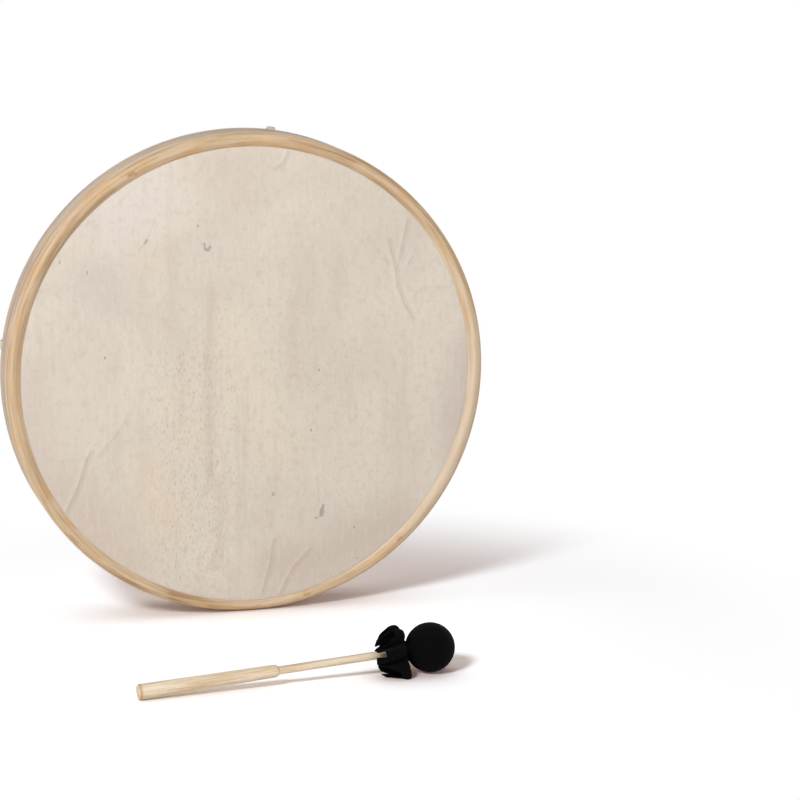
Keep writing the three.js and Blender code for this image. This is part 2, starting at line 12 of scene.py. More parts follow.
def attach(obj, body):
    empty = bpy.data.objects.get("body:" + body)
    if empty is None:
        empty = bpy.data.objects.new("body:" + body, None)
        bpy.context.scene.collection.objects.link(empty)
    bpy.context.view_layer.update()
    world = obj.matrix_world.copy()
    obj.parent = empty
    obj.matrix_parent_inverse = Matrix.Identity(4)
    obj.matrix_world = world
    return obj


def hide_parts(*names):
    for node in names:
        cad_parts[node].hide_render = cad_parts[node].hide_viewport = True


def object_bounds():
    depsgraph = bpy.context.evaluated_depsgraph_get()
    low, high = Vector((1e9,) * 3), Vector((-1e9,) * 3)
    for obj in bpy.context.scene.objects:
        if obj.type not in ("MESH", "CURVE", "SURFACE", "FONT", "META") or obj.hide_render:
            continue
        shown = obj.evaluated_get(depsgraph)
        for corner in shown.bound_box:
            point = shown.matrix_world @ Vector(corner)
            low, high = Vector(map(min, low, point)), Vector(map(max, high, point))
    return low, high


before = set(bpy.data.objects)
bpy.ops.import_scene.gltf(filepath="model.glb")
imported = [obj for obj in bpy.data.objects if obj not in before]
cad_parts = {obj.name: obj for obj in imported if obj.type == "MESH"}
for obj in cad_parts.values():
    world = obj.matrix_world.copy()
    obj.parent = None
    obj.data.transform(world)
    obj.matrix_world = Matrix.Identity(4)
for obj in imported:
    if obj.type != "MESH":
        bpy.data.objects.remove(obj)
cad_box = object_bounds()
random.seed(7)

MM = 0.001

# Sizes that the solids have, in millimetres
RIM = 250
DEPTH = 56
WALL = 16
RING_DEPTH = 20.5
RING_LIP = 6.4
RING_CREST = 7
RING_FALL = 3.2
RING_ROUND = 5
RING_CHAMFER = 0.8
SKIN_DEPTH = 4
SKIN_THICK = 0.8
FLESH_WIDTH = 7.2
FLESH_BACK_GAP = 2.3
FLESH_ROUND = 2
BACK_ROUND = 5
BACK_INNER_ROUND = 3
SEAT = 0.3
CROSS_TURN = radians(8.2)
LACE_WIDTH = 7.2
LACE_THICK = 2.8
SLOT_FLAT_ROOM = 0.4
SLOT_SIDE_ROOM = 1.3
SLOT_FROM_BACK = 8.5
SLOT_SLANT = 3
CROSS_OVER_START = 8
CROSS_OVER_END = 16
KNOT_LENGTH = 7.6
HUB_DIAMETER = 39
HUB_HEIGHT = 20
HUB_SQUARENESS = 0.04
HUB_FULLNESS = 2.3
ARMS = {"top": 0, "right": 1, "bottom": 2, "left": 3}
ARM_REACH = {"top": 64, "right": 63, "bottom": 72, "left": 66}
TAIL_LENGTH = {"top": 19, "bottom": 5, "left": 14, "right": 12}
TAIL_SIDEWAYS = {"top": -0.3, "bottom": 0.35, "left": 0.45, "right": 0.25}
TAIL_FORWARDS = 0.45
BEATER_REACH = 291.6
HEAD_RADIUS = 24.3
HANDLE_END = 7.6
HANDLE_FRONT = 6.3
HANDLE_LENGTH = 138
SHOULDER_ROUND = 5
END_CHAMFER = 2.6
SHAFT_BACK = 4.1
SHAFT_FRONT = 3.85
SHAFT_INTO_HEAD = 12
CLOTH = 0.9
GATHER = 5.4
BEATER_LEFT = 171.9
BEATER_BEFORE = 276.6
BEATER_HEADING = radians(3.4)

INNER = RIM - WALL
LACE_LIFT = SEAT + LACE_THICK / 2
BACK_Y = -LACE_LIFT
FRONT_Y = BACK_Y - DEPTH
SHELL_FRONT = RING_DEPTH + SEAT + SKIN_THICK + SEAT
FLESH_OUTER = INNER + FLESH_WIDTH
LACE_RIM = RIM + SEAT + LACE_THICK
REBATE = FLESH_OUTER + SEAT + SKIN_THICK + SEAT
FLOOR_Z = cad_box[0][2]

# Photograph's view: the camera's place, its direction and the lens, for a square picture
CAMERA_PLACE = Vector((-0.6264, -2.9108, 0.5538))
CAMERA_FORWARD = Vector((0.26066, 0.94556, -0.19485))
CAMERA_LENS = 129.89

scene = bpy.context.scene
scene.view_settings.view_transform = "Standard"


def add_object(name, data):
    made = bpy.data.objects.new(name, data)
    scene.collection.objects.link(made)
    return made


def aim(made, place, direction):
    made.location = place
    made.rotation_euler = direction.to_track_quat("-Z", "Y").to_euler()


def make_camera():
    data = bpy.data.cameras.new("camera")
    data.lens = CAMERA_LENS
    data.sensor_width = 36
    data.clip_end = 40
    scene.camera = add_object("camera", data)
    aim(scene.camera, CAMERA_PLACE, CAMERA_FORWARD)


make_camera()


# Colours and node trees


def srgb(r, g, b):
    def linear(value):
        value /= 255
        return value / 12.92 if value <= 0.04045 else ((value + 0.055) / 1.055) ** 2.4

    return (linear(r), linear(g), linear(b), 1)


class Tree:
    """Short ways to add shader nodes. A socket gets a number, a node's output or a colour in sRGB to 255."""

    def __init__(self, owner):
        owner.use_nodes = True
        self.tree = owner.node_tree
        self.tree.nodes.clear()

    def node(self, kind, inputs=None, **settings):
        node = self.tree.nodes.new("ShaderNode" + kind)
        for key, value in settings.items():
            setattr(node, key, value)
        for key, value in (inputs or {}).items():
            if value is not None:
                self.put(node.inputs[key], value)
        return node

    def put(self, socket, value):
        if isinstance(value, bpy.types.NodeSocket):
            self.tree.links.new(value, socket)
        else:
            is_srgb = socket.type == "RGBA" and len(value) == 3
            socket.default_value = srgb(*value) if is_srgb else value

    def math(self, operation, a, b=None, c=None, clamp=False):
        return self.node("Math", {0: a, 1: b, 2: c}, operation=operation, use_clamp=clamp).outputs[0]

    def times(self, a, b):
        return self.math("MULTIPLY", a, b)

    def times_add(self, a, b, c):
        return self.math("MULTIPLY_ADD", a, b, c)

    def larger(self, a, b):
        return self.math("MAXIMUM", a, b)

    def vector(self, operation, a, b=None, scale=None):
        node = self.node("VectorMath", {0: a, 1: b, "Scale": scale}, operation=operation)
        return node.outputs["Value" if operation in ("LENGTH", "DOT_PRODUCT", "DISTANCE") else "Vector"]

    def object_place(self):
        return self.node("TexCoord").outputs["Object"]

    def split(self, vector):
        return self.node("SeparateXYZ", {0: vector}).outputs

    def join(self, x, y, z):
        return self.node("CombineXYZ", {0: x, 1: y, 2: z}).outputs[0]

    def noise(self, vector, scale=1, detail=3, roughness=0.5, w=None, distortion=0):
        inputs = {"Vector": vector, "Scale": scale, "Detail": detail, "Roughness": roughness,
                  "Distortion": distortion, "W": w}
        return self.node("TexNoise", inputs, noise_dimensions="3D" if w is None else "4D").outputs["Fac"]

    def ramp(self, value, low, high, to_low=0, to_high=1, smooth=True):
        inputs = {"Value": value, "From Min": low, "From Max": high, "To Min": to_low, "To Max": to_high}
        kind = "SMOOTHSTEP" if smooth else "LINEAR"
        return self.node("MapRange", inputs, interpolation_type=kind).outputs["Result"]

    def colours(self, value, *stops):
        node = self.node("ValToRGB", {0: value})
        elements = node.color_ramp.elements
        while len(elements) < len(stops):
            elements.new(0.5)
        for element, (place, colour) in zip(elements, stops):
            element.position = place
            element.color = srgb(*colour)
        return node.outputs["Color"]

    def mix(self, share, a, b):
        return self.node("Mix", {0: share, 6: a, 7: b}, data_type="RGBA").outputs[2]

    def stained(self, colour, *stains):
        """Lays tints over a colour, one after another, each by its share."""
        for share, tint in stains:
            colour = self.mix(share, colour, tint)
        return colour

    def bump(self, height, strength, distance):
        return self.node("Bump", {"Height": height, "Strength": strength, "Distance": distance}).outputs[0]

    def surface(self, colour, roughness, normal, **sockets):
        shader = self.node("BsdfPrincipled", {"Base Color": colour, "Roughness": roughness, "Normal": normal})
        for key, value in sockets.items():
            self.put(shader.inputs[key.replace("_", " ")], value)
        self.node("OutputMaterial", {"Surface": shader.outputs[0]})

    def looked_at(self):
        """1 for what the camera sees, also by reflection or through a surface, and 0 for all other light."""
        path = self.node("LightPath").outputs
        indirect = self.larger(path["Is Glossy Ray"], path["Is Transmission Ray"])
        return self.larger(path["Is Camera Ray"], indirect)


def material(name):
    made = bpy.data.materials.new(name)
    return made, Tree(made)


def near_segment(tree, place, start, end):
    """Distance from a place to a straight segment, in metres."""
    start, end = Vector(start), Vector(end)
    along = end - start
    offset = tree.vector("SUBTRACT", place, tuple(start))
    ahead = tree.vector("DOT_PRODUCT", offset, tuple(along))
    share = tree.math("DIVIDE", ahead, along.length_squared, clamp=True)
    nearest = tree.vector("SCALE", tuple(along), scale=share)
    return tree.vector("LENGTH", tree.vector("SUBTRACT", offset, nearest))


def near_path(tree, place, path):
    """Distance from a place to a path of points across and up the skin, in metres."""
    corners = [(x * MM, 0, z * MM) for x, z in path]
    nearest, *more = [near_segment(tree, place, a, b) for a, b in zip(corners, corners[1:])]
    for gap in more:
        nearest = tree.math("MINIMUM", nearest, gap)
    return nearest


# Materials


def hoop_places(tree):
    """Round the drum's axis: the unit direction's x and z, the radius and the depth, all in metres."""
    x, y, z = tree.split(tree.object_place())
    radius = tree.vector("LENGTH", tree.join(x, 0, z))
    return tree.math("DIVIDE", x, radius), tree.math("DIVIDE", z, radius), radius, y


def bent_wood(name, pale, middle, deep, spots=(), crest=0):
    """Ash-like wood bent round the drum: its grain is slow round the hoop and fast across it.

    `crest` says how strongly a pale highlight is painted along the ring's rounded crest.
    """
    made, tree = material(name)
    cos_part, sin_part, radius, depth = hoop_places(tree)

    def grain(slow, fast, detail, shift):
        vector = tree.join(tree.times_add(cos_part, slow, shift), tree.times(depth, fast),
                           tree.times(sin_part, slow))
        return tree.noise(vector, 1, detail, 0.55, w=tree.times(radius, fast))

    broad = grain(1.1, 60, 2, 3)
    streaks = grain(2, 210, 3, 11)
    fibres = grain(9, 1000, 2, 23)
    pores = tree.ramp(grain(16, 1300, 1, 37), 0.58, 0.72)
    ochre = tree.ramp(grain(7, 90, 2, 51), 0.50, 0.66)
    bleached = tree.ramp(grain(5, 70, 2, 67), 0.52, 0.68)
    # Painted highlight: a pale band along the ring's rounded crest, in broad patches.
    off_crest = tree.math("ABSOLUTE", tree.math("SUBTRACT", radius, (RIM - RING_CREST) * MM))
    painted_crest_highlight = tree.times(tree.ramp(off_crest, 0, 0.0042, crest, 0), tree.ramp(broad, 0.40, 0.60))
    # Painted highlight: the hoops are painted paler towards their right side, a little below level.
    to_right = tree.math("SUBTRACT", tree.times(cos_part, 0.95), tree.times(sin_part, 0.31))
    painted_side_highlight = tree.ramp(to_right, 0.78, 1)
    tone = tree.times_add(streaks, 0.6, tree.times_add(fibres, 0.22, tree.times(broad, 0.4)))
    colour = tree.stained(
        tree.colours(tone, (0.50, deep), (0.60, middle), (0.70, pale)),
        (tree.times(pores, 0.35), deep),
        (tree.times(ochre, 0.6), (203, 158, 104)),
        (tree.times(bleached, 0.5), pale),
        (painted_crest_highlight, (233, 216, 190)),
        (tree.times(painted_side_highlight, 0.5), (226, 209, 187)),
    )
    place = tree.object_place()
    for angle, at_radius, at_depth, reach, strength in spots:
        turn = radians(angle)
        centre = Vector((at_radius * sin(turn), at_depth, at_radius * cos(turn))) * MM
        ahead = Vector((cos(turn), 0, -sin(turn))) * reach * MM
        gap = near_segment(tree, place, centre - ahead, centre + ahead)
        colour = tree.mix(tree.ramp(gap, 0, 0.0026, strength, 0), colour, (172, 118, 68))
    normal = tree.bump(tree.times_add(fibres, 0.6, streaks), 0.3, 0.0004)
    tree.surface(colour, tree.ramp(fibres, 0.3, 0.7, 0.46, 0.62), normal)
    return made


def follicle_dots(tree, x, z, grown):
    """All kinds of follicles together. `grown` says how thickly each kind grows."""
    dots = 0
    for there, (_, _, cells, stretch, size, rarity, strength) in zip(grown, SKIN_FOLLICLES):
        inputs = {"Vector": tree.join(x, tree.times(z, stretch), 0), "Scale": cells}
        cell = tree.node("TexVoronoi", inputs, voronoi_dimensions="2D", feature="F1").outputs
        chosen = tree.math("GREATER_THAN", tree.vector("DOT_PRODUCT", cell["Color"], (1, 0, 0)), rarity)
        dot = tree.ramp(cell["Distance"], 0.35 * size, size, strength, 0)
        dots = tree.larger(dots, tree.times(tree.times(dot, chosen), there))
    return dots


def crease_lines(tree, flat):
    """The creases, as narrow lines and as the soft ridges that they run on. Both also darken the hide as
    painted shade.
    """
    lines = ridges = 0
    for path, wide, strength in SKIN_CREASES:
        gap = near_path(tree, flat, path)
        lines = tree.larger(lines, tree.ramp(gap, 0, wide * MM, strength, 0))
        ridges = tree.larger(ridges, tree.ramp(gap, 0, 6 * wide * MM, strength, 0))
    return lines, ridges


def hide_material():
    """Undyed hide: cream with broad tones, follicles, hair strokes, creases with painted shade, and a few
    grey marks.
    """
    made, tree = material("hide")
    x, _, z = tree.split(tree.object_place())
    flat = tree.join(x, 0, z)

    def strokes(across, up, detail, roughness):
        return tree.noise(tree.join(tree.times(x, across), 0, tree.times(z, up)), 1, detail, roughness)

    patches = tree.noise(flat, 8, 3, 0.55, distortion=0.6)
    mottle = tree.noise(flat, 120, 4, 0.6)
    bands = strokes(34, 6, 3, 0.55)
    strands = strokes(260, 48, 3, 0.6)
    hair = strokes(1100, 170, 2, 0.5)
    tone = tree.node("Attribute", attribute_name="tone").outputs
    growth = tree.node("Attribute", attribute_name="growth").outputs
    grown = [*tree.split(growth["Vector"]), growth["Alpha"]]
    hairy = tree.times_add(grown[0], 0.40, 0.14)
    dots = follicle_dots(tree, x, z, grown)
    lines, ridges = crease_lines(tree, flat)
    colour = tree.stained(
        tree.colours(patches, (0.36, (213, 201, 188)), (0.50, (216, 205, 191)), (0.66, (221, 210, 195))),
        (tone["Alpha"], tone["Color"]),
        (tree.ramp(bands, 0.50, 0.72, 0, 0.32), (200, 185, 171)),
        (tree.ramp(mottle, 0.48, 0.72, 0, 0.44), (201, 185, 169)),
        (tree.ramp(strands, 0.50, 0.72, 0, 0.16), (196, 180, 164)),
        (tree.ramp(strands, 0.50, 0.30, 0, 0.18), (229, 220, 208)),
        (tree.times(tree.ramp(hair, 0.54, 0.70), hairy), (178, 158, 140)),
        (dots, (160, 132, 106)),
        # Painted shade: the hide is darker over each crease's soft ridge, and darker still along its narrow
        # line.
        (tree.times(ridges, 0.2), (199, 184, 172)),
        (tree.times(lines, 0.3), (170, 150, 136)),
    )
    for path, wide, tint, strength in SKIN_MARKS:
        ragged = tree.times_add(tree.math("SUBTRACT", mottle, 0.5), 3 * MM, near_path(tree, flat, path))
        colour = tree.mix(tree.ramp(ragged, 0.3 * wide * MM, wide * MM, strength, 0), colour, tint)
    radius = tree.vector("LENGTH", flat)
    grey_from, grey_to = RIM - 6.5, RIM - 5
    outer_edge = tree.ramp(radius, grey_from * MM, grey_to * MM, smooth=False)
    colour = tree.mix(outer_edge, colour, (176, 168, 158))
    height = tree.times_add(mottle, 0.25, tree.times(lines, 0.5))
    for layer, weight in ((ridges, 2.2), (dots, -0.25), (tree.noise(flat, 420, 2, 0.6), 0.10)):
        height = tree.times_add(layer, weight, height)
    tree.surface(colour, tree.ramp(mottle, 0.3, 0.7, 0.52, 0.66), tree.bump(height, 0.4, 0.0009),
                 Sheen_Weight=0.08, Sheen_Roughness=0.4)
    return made


def leather_material():
    """Rawhide lace: tan, with fibres along it, and a greyer stretch over the rim."""
    made, tree = material("lace_leather")
    place = tree.object_place()
    x, _, z = tree.split(place)
    radius = tree.vector("LENGTH", tree.join(x, 0, z))
    fibre = tree.noise(place, 520, 3, 0.6)
    cloudy = tree.noise(place, 70, 3, 0.55)
    colour = tree.colours(tree.times_add(fibre, 0.4, tree.times(cloudy, 0.6)),
                          (0.34, (188, 155, 118)), (0.5, (211, 184, 152)), (0.68, (227, 207, 181)))
    over_rim = tree.ramp(radius, 0.236, 0.247, 0, 0.75)
    colour = tree.mix(over_rim, colour, (204, 194, 182))
    tree.surface(colour, tree.ramp(cloudy, 0.3, 0.7, 0.5, 0.7), tree.bump(fibre, 0.4, 0.0003))
    return made


def cotton_material():
    """White cotton cord: a faint twist of two plies, slightly soiled."""
    made, tree = material("cotton_cord")
    place = tree.object_place()
    soil = tree.noise(place, 85, 3, 0.5)
    twist = tree.noise(place, 1900, 2, 0.6)
    colour = tree.colours(soil, (0.35, (205, 199, 193)), (0.55, (224, 220, 216)), (0.75, (233, 230, 227)))
    colour = tree.mix(tree.ramp(twist, 0.55, 0.75, 0, 0.25), colour, (182, 172, 164))
    tree.surface(colour, tree.ramp(soil, 0.3, 0.7, 0.84, 0.92), tree.bump(twist, 0.5, 0.0002),
                 Sheen_Weight=0.15, Sheen_Roughness=0.6)
    return made


def along_beater(tree):
    """A place in the beater's own frame, in metres: across, up and along it from its handle end."""
    inputs = {"Vector": tree.object_place(), "Location": beater_matrix.to_translation(),
              "Rotation": beater_matrix.to_euler()}
    return tree.node("Mapping", inputs, vector_type="TEXTURE").outputs[0]


def turned_wood():
    """Pale straight-grained wood with long fibres. The handle's end is browner and has a brown edge, and the
    shaft has painted shade under the frill.
    """
    made, tree = material("beater_wood")
    across, up, along = tree.split(along_beater(tree))

    def grain(slow, fast, detail):
        vector = tree.join(tree.times(across, fast), tree.times(up, fast), tree.times(along, slow))
        return tree.noise(vector, 1, detail, 0.55, distortion=0.2)

    broad = grain(9, 160, 2)
    streak = grain(22, 620, 3)
    fibre = grain(130, 2300, 2)
    tone = tree.times_add(streak, 0.5, tree.times_add(fibre, 0.22, tree.times(broad, 0.42)))
    ring = tree.math("ABSOLUTE", tree.math("SUBTRACT", along, tree.times_add(streak, 0.003, 0.0008)))
    handled_end = tree.ramp(along, 0.0015, 0.0065, 0.45, 0)
    # Painted shade: the shaft is darker where the frill hangs over it.
    frill_shade_on_shaft = tree.ramp(along, 0.228, 0.246, 0, 0.55)
    colour = tree.stained(
        tree.colours(tone, (0.43, (208, 178, 140)), (0.545, (229, 207, 176)), (0.68, (242, 227, 204))),
        (handled_end, (196, 154, 110)),
        (tree.ramp(ring, 0.0002, 0.0011, 0.6, 0), (160, 112, 76)),
        (frill_shade_on_shaft, (150, 130, 98)),
    )
    normal = tree.bump(tree.times_add(fibre, 0.5, streak), 0.3, 0.0003)
    tree.surface(colour, tree.ramp(fibre, 0.3, 0.7, 0.48, 0.62), normal)
    return made


def cloth_material():
    """Matte black woven cloth with a light nap."""
    made, tree = material("black_cloth")
    place = along_beater(tree)
    nap = tree.noise(place, 240, 4, 0.65)
    weave = tree.noise(place, 1700, 2, 0.5)
    colour = tree.colours(nap, (0.35, (5, 5, 5)), (0.6, (9, 8, 8)), (0.8, (16, 15, 15)))
    normal = tree.bump(tree.times_add(weave, 0.5, nap), 0.5, 0.0004)
    tree.surface(colour, tree.ramp(nap, 0.3, 0.7, 0.9, 0.98), normal,
                 Specular_IOR_Level=0.06, Sheen_Weight=0.01, Sheen_Roughness=0.5)
    return made


def felt_material():
    """Grey-brown felt of the padding."""
    made, tree = material("padding_felt")
    fuzz = tree.noise(along_beater(tree), 600, 4, 0.7)
    colour = tree.colours(fuzz, (0.3, (112, 105, 95)), (0.55, (140, 132, 121)), (0.8, (166, 158, 146)))
    tree.surface(colour, tree.ramp(fuzz, 0.3, 0.7, 0.9, 0.98), tree.bump(fuzz, 0.6, 0.0005))
    return made


# Places on the skin are in millimetres across and up from its middle.
# Broad tones: path, half width, colour and strength
SKIN_TONES = [
    ([(-158, 103), (-150, 92)], 48, (202, 193, 185), 0.5),
    ([(-135, 170), (-100, 190)], 60, (222, 212, 207), 0.6),
    ([(-104, 123), (-98, 118)], 22, (222, 206, 184), 0.5),
    ([(-108, -100), (-90, -150)], 38, (223, 206, 181), 0.6),
    ([(-70, -20), (-60, -60)], 50, (222, 208, 190), 0.5),
    ([(-15, 40), (25, -75)], 60, (225, 212, 192), 0.6),
    ([(235, 10), (226, -90)], 42, (203, 187, 179), 0.65),
    ([(-235, 5), (-215, -90)], 40, (207, 193, 182), 0.55),
    ([(-195, -115), (-130, -190)], 42, (205, 188, 172), 0.6),
    ([(30, -205), (75, -200), (150, -165)], 46, (200, 184, 171), 0.7),
    ([(150, -60), (110, -120)], 60, (221, 211, 197), 0.6),
    ([(170, 60), (185, 20)], 50, (223, 210, 195), 0.5),
    ([(-46, 215), (10, 226)], 36, (212, 197, 181), 0.5),
    ([(-37.8, 90), (-42.3, 20), (-42.3, -94.7)], 9, (196, 181, 167), 0.45),
    ([(-42.3, -94.7), (-47, -125)], 6, (198, 183, 170), 0.4),
    ([(-42.3, -94.7), (-31, -132), (-36, -200)], 7, (196, 181, 169), 0.45),
]
# Follicles: path of their area, its half width, cells in a metre, upright squeeze, size, rarity and strength
SKIN_FOLLICLES = [
    ([(-58, 0), (-60, -190)], 62, 280, 0.30, 0.20, 0.50, 0.34),
    ([(10, 70), (80, 0)], 62, 112, 0.60, 0.095, 0.25, 0.36),
    ([(0, 0), (60, -120)], 190, 175, 0.55, 0.12, 0.70, 0.34),
    ([(-150, 60), (-190, 100)], 60, 190, 0.55, 0.11, 0.70, 0.28),
]
# Creases: path, half width and strength
SKIN_CREASES = [
    ([(168.7, 154.5), (164.4, 133.8), (160.1, 116.2)], 0.9, 0.8),
    ([(148.3, 134.4), (155.8, 105.9), (158, 87), (164.4, 68.8), (174.2, 51.5)], 0.9, 0.85),
    ([(169.8, 109.6), (173, 115.7)], 0.8, 0.7),
    ([(143, 115.8), (147.2, 110.5)], 0.8, 0.7),
    ([(126.9, 137.3), (137.6, 122.3)], 0.8, 0.45),
    ([(182.8, 83.8), (212.1, 82.6)], 0.8, 0.4),
    ([(-166.7, -71.7), (-173.2, -87), (-179.8, -107.5), (-191.6, -130.9)], 0.9, 0.95),
    ([(-124.7, -33.4), (-142.7, -58.5), (-158.5, -75.3)], 1, 0.45),
    ([(23.7, -176.7), (20.2, -201.2), (11.4, -231.9)], 0.9, 0.85),
    ([(63.3, -188), (44.9, -207.2), (30.7, -233.3)], 0.9, 0.85),
    ([(41.9, 228.8), (37.6, 218.7), (29.2, 212.8)], 0.8, 0.6),
]
# Marks: path, half width, colour and strength
SKIN_MARKS = [
    ([(-45.2, 137.6), (-44.4, 133)], 1.8, (166, 156, 152), 0.85),
    ([(-43.4, 132), (-40.8, 131.6), (-39.4, 134.4)], 2.5, (166, 156, 152), 0.85),
    ([(-104.1, 143.9), (-106, 141)], 1.9, (158, 148, 142), 0.8),
    ([(-106, 141), (-112.4, 134.1)], 1.1, (186, 174, 166), 0.5),
    ([(-104, 145), (-98, 158), (-96, 165)], 1.2, (198, 187, 178), 0.35),
    ([(-192.9, 126), (-193.5, 124)], 1.6, (170, 160, 152), 0.7),
    ([(-165.8, 114.4), (-165.8, 111)], 1.1, (160, 148, 138), 0.8),
    ([(-51.4, 157.3), (-51.4, 155.6)], 1.3, (165, 150, 140), 0.7),
    ([(-149.3, 25.4), (-149.3, 24.4)], 1.6, (150, 130, 112), 0.7),
    ([(77.8, -143.1), (76.5, -147.9)], 2, (162, 156, 150), 0.85),
    ([(76.3, -148.9), (75.7, -152.7)], 3.6, (162, 156, 150), 0.9),
    ([(74.3, -154.2), (70, -156.1)], 1.2, (162, 156, 150), 0.7),
    ([(71.1, -156.1), (71, -156.6)], 1, (140, 132, 124), 0.8),
    ([(24.1, -126.5), (24.6, -128.5)], 2.2, (168, 158, 150), 0.75),
    ([(74.1, 1.9), (74.1, 0.7)], 1.3, (170, 112, 72), 0.8),
    ([(65.2, -61.2), (65.2, -62.2)], 1.2, (150, 132, 116), 0.7),
    ([(114.2, -201.6), (114.4, -202.8)], 1.3, (150, 132, 116), 0.7),
    ([(111, -168), (111, -169)], 1.2, (150, 132, 116), 0.7),
    ([(17.1, -189), (17.4, -196)], 3.4, (206, 178, 142), 0.35),
]

# Small knots on the front ring: degrees from the top, radius, depth, half length along the ring and strength
RING_SPOTS = [
    (-29.5, 243, FRONT_Y, 3, 0.75),
    (-28.6, 240, FRONT_Y, 1, 0.6),
    (-33.5, 238.5, FRONT_Y, 7, 0.35),
    (-2.5, 239, FRONT_Y, 8, 0.40),
    (139, 243, FRONT_Y, 2, 0.60),
    (166, 244, FRONT_Y, 2.5, 0.55),
    (-131, 246, FRONT_Y, 5, 0.40),
]


# The beater's own frame: x away from the viewer, y up, z along it from the handle's end
rest_reach = BEATER_REACH - END_CHAMFER
beater_tilt = asin(HEAD_RADIUS / hypot(rest_reach, HANDLE_END)) - atan2(HANDLE_END, rest_reach)
level = Vector((cos(BEATER_HEADING), sin(BEATER_HEADING), 0))
along_axis = level * cos(beater_tilt) + Vector((0, 0, sin(beater_tilt)))
over_axis = level * -sin(beater_tilt) + Vector((0, 0, cos(beater_tilt)))
across_axis = over_axis.cross(along_axis)
handle_lift = HANDLE_END * cos(beater_tilt) - END_CHAMFER * sin(beater_tilt)
beater_origin = Vector((-BEATER_LEFT, FRONT_Y - BEATER_BEFORE, handle_lift)) * MM + Vector((0, 0, FLOOR_Z))
beater_matrix = Matrix((across_axis, over_axis, along_axis)).transposed().to_4x4()
beater_matrix.translation = beater_origin


# Mesh making. Points are in millimetres until they become a mesh.


def new_mesh(name, points, faces, place=Matrix.Identity(4)):
    mesh = bpy.data.meshes.new(name)
    mesh.from_pydata([place @ (Vector(p) * MM) for p in points], [], faces)
    mesh.update()
    return mesh


def smooth_but_sharp(mesh, sharp):
    mesh.shade_smooth()
    mesh.set_sharp_from_angle(angle=radians(sharp))


def piece(name, points, faces, finish, body, slot, node, sharp):
    """One object that rides on a body and stands for a CAD node. Edges over `sharp` degrees stay sharp."""
    mesh = new_mesh(name, points, faces, beater_matrix if body == "beater" else Matrix.Identity(4))
    smooth_but_sharp(mesh, sharp)
    mesh.materials.append(finish)
    made = add_object(name, mesh)
    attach(made, body)
    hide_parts(node)
    return made


def apply(made, kind, **settings):
    """Adds a modifier and keeps its result as the mesh."""
    modifier = made.modifiers.new(kind.lower(), kind)
    for key, value in settings.items():
        setattr(modifier, key, value)
    bpy.context.view_layer.update()
    result = made.evaluated_get(bpy.context.evaluated_depsgraph_get())
    mesh = bpy.data.meshes.new_from_object(result)
    made.modifiers.clear()
    made.data = mesh


def clamp(value, low=0, high=1):
    return min(max(value, low), high)


def between(start, end, share):
    return start + (end - start) * share


def ease(share):
    """Turns an even run from 0 to 1 into one that starts and ends slowly."""
    return share * share * (3 - 2 * share)


def polar(radius, angle):
    return radius * cos(angle), radius * sin(angle)


def arc(centre, radius, start, end, steps, height=None):
    """Points of an arc from one angle in degrees to another, both ends in. `height` makes it an ellipse's."""
    height = height or radius
    angles = [radians(start + (end - start) * i / steps) for i in range(steps + 1)]
    return [(centre[0] + radius * cos(angle), centre[1] + height * sin(angle)) for angle in angles]


def lathe(profile, wobble=None, closed=True):
    """A section of radius and depth behind the drum's front, turned about the drum's axis."""
    points, faces = [], []
    count = len(profile)
    for s in range(SEGMENTS):
        angle = tau * s / SEGMENTS
        for radius, depth in profile:
            if wobble:
                radius, depth = wobble(angle, radius, depth)
            points.append((radius * sin(angle), FRONT_Y + depth, radius * cos(angle)))
        t = (s + 1) % SEGMENTS
        for i in range(count if closed else count - 1):
            j = (i + 1) % count
            faces.append((s * count + i, s * count + j, t * count + j, t * count + i))
    return points, faces


def tube(rings, closed_ends=True):
    """Joins rings of equal point count, in order, and closes both ends."""
    count = len(rings[0])
    points = [p for ring in rings for p in ring]
    faces = []
    for i in range(len(rings) - 1):
        for j in range(count):
            k = (j + 1) % count
            faces.append((i * count + j, i * count + k, (i + 1) * count + k, (i + 1) * count + j))
    if closed_ends:
        last = (len(rings) - 1) * count
        faces += [tuple(range(count - 1, -1, -1)), tuple(range(last, last + count))]
    return points, faces


def sweep(path, section, across):
    """Rings of a section along a path. `section` gives its corners for a share from 0 to 1."""
    rings = []
    for i, place in enumerate(path):
        before, after = path[max(i - 1, 0)], path[min(i + 1, len(path) - 1)]
        along = (after - before).normalized()
        side = (across - along * across.dot(along)).normalized()
        up = along.cross(side)
        rings.append([place + side * x + up * y for x, y in section(i / (len(path) - 1))])
    return rings


def join_parts(parts):
    points, faces = [], []
    for more_points, more_faces in parts:
        base = len(points)
        points += more_points
        faces += [tuple(i + base for i in face) for face in more_faces]
    return points, faces


def round_section(radius, sides):
    return [polar(radius, tau * i / sides) for i in range(sides)]


def cord_tube(path, diameter, sides, across):
    return tube(sweep(path, lambda share: round_section(diameter / 2, sides), across))


def at_arm(arm, points):
    """Turns points that lie straight above the drum's middle to an arm of the laces."""
    turn = Matrix.Rotation(CROSS_TURN + ARMS[arm] * pi / 2, 3, "Y")
    return [turn @ Vector(p) for p in points]


# Materials in use
ring_wood = bent_wood("ring_wood", (215, 190, 158), (196, 166, 130), (164, 128, 92), RING_SPOTS, crest=0.2)
# The shell's wood is darker than the ring's: partly its own tone, partly painted shade for the shell's outer
# sides, which get less light than the ring's front.
shell_wood_and_shade = bent_wood("shell_wood_and_shade", (192, 171, 147), (173, 149, 124), (145, 118, 92))
inner_wood = bent_wood("inner_wood", (200, 165, 124), (180, 142, 102), (150, 112, 76))
hide = hide_material()
leather = leather_material()
cotton = cotton_material()
beater_wood = turned_wood()
black_cloth = cloth_material()
felt = felt_material()


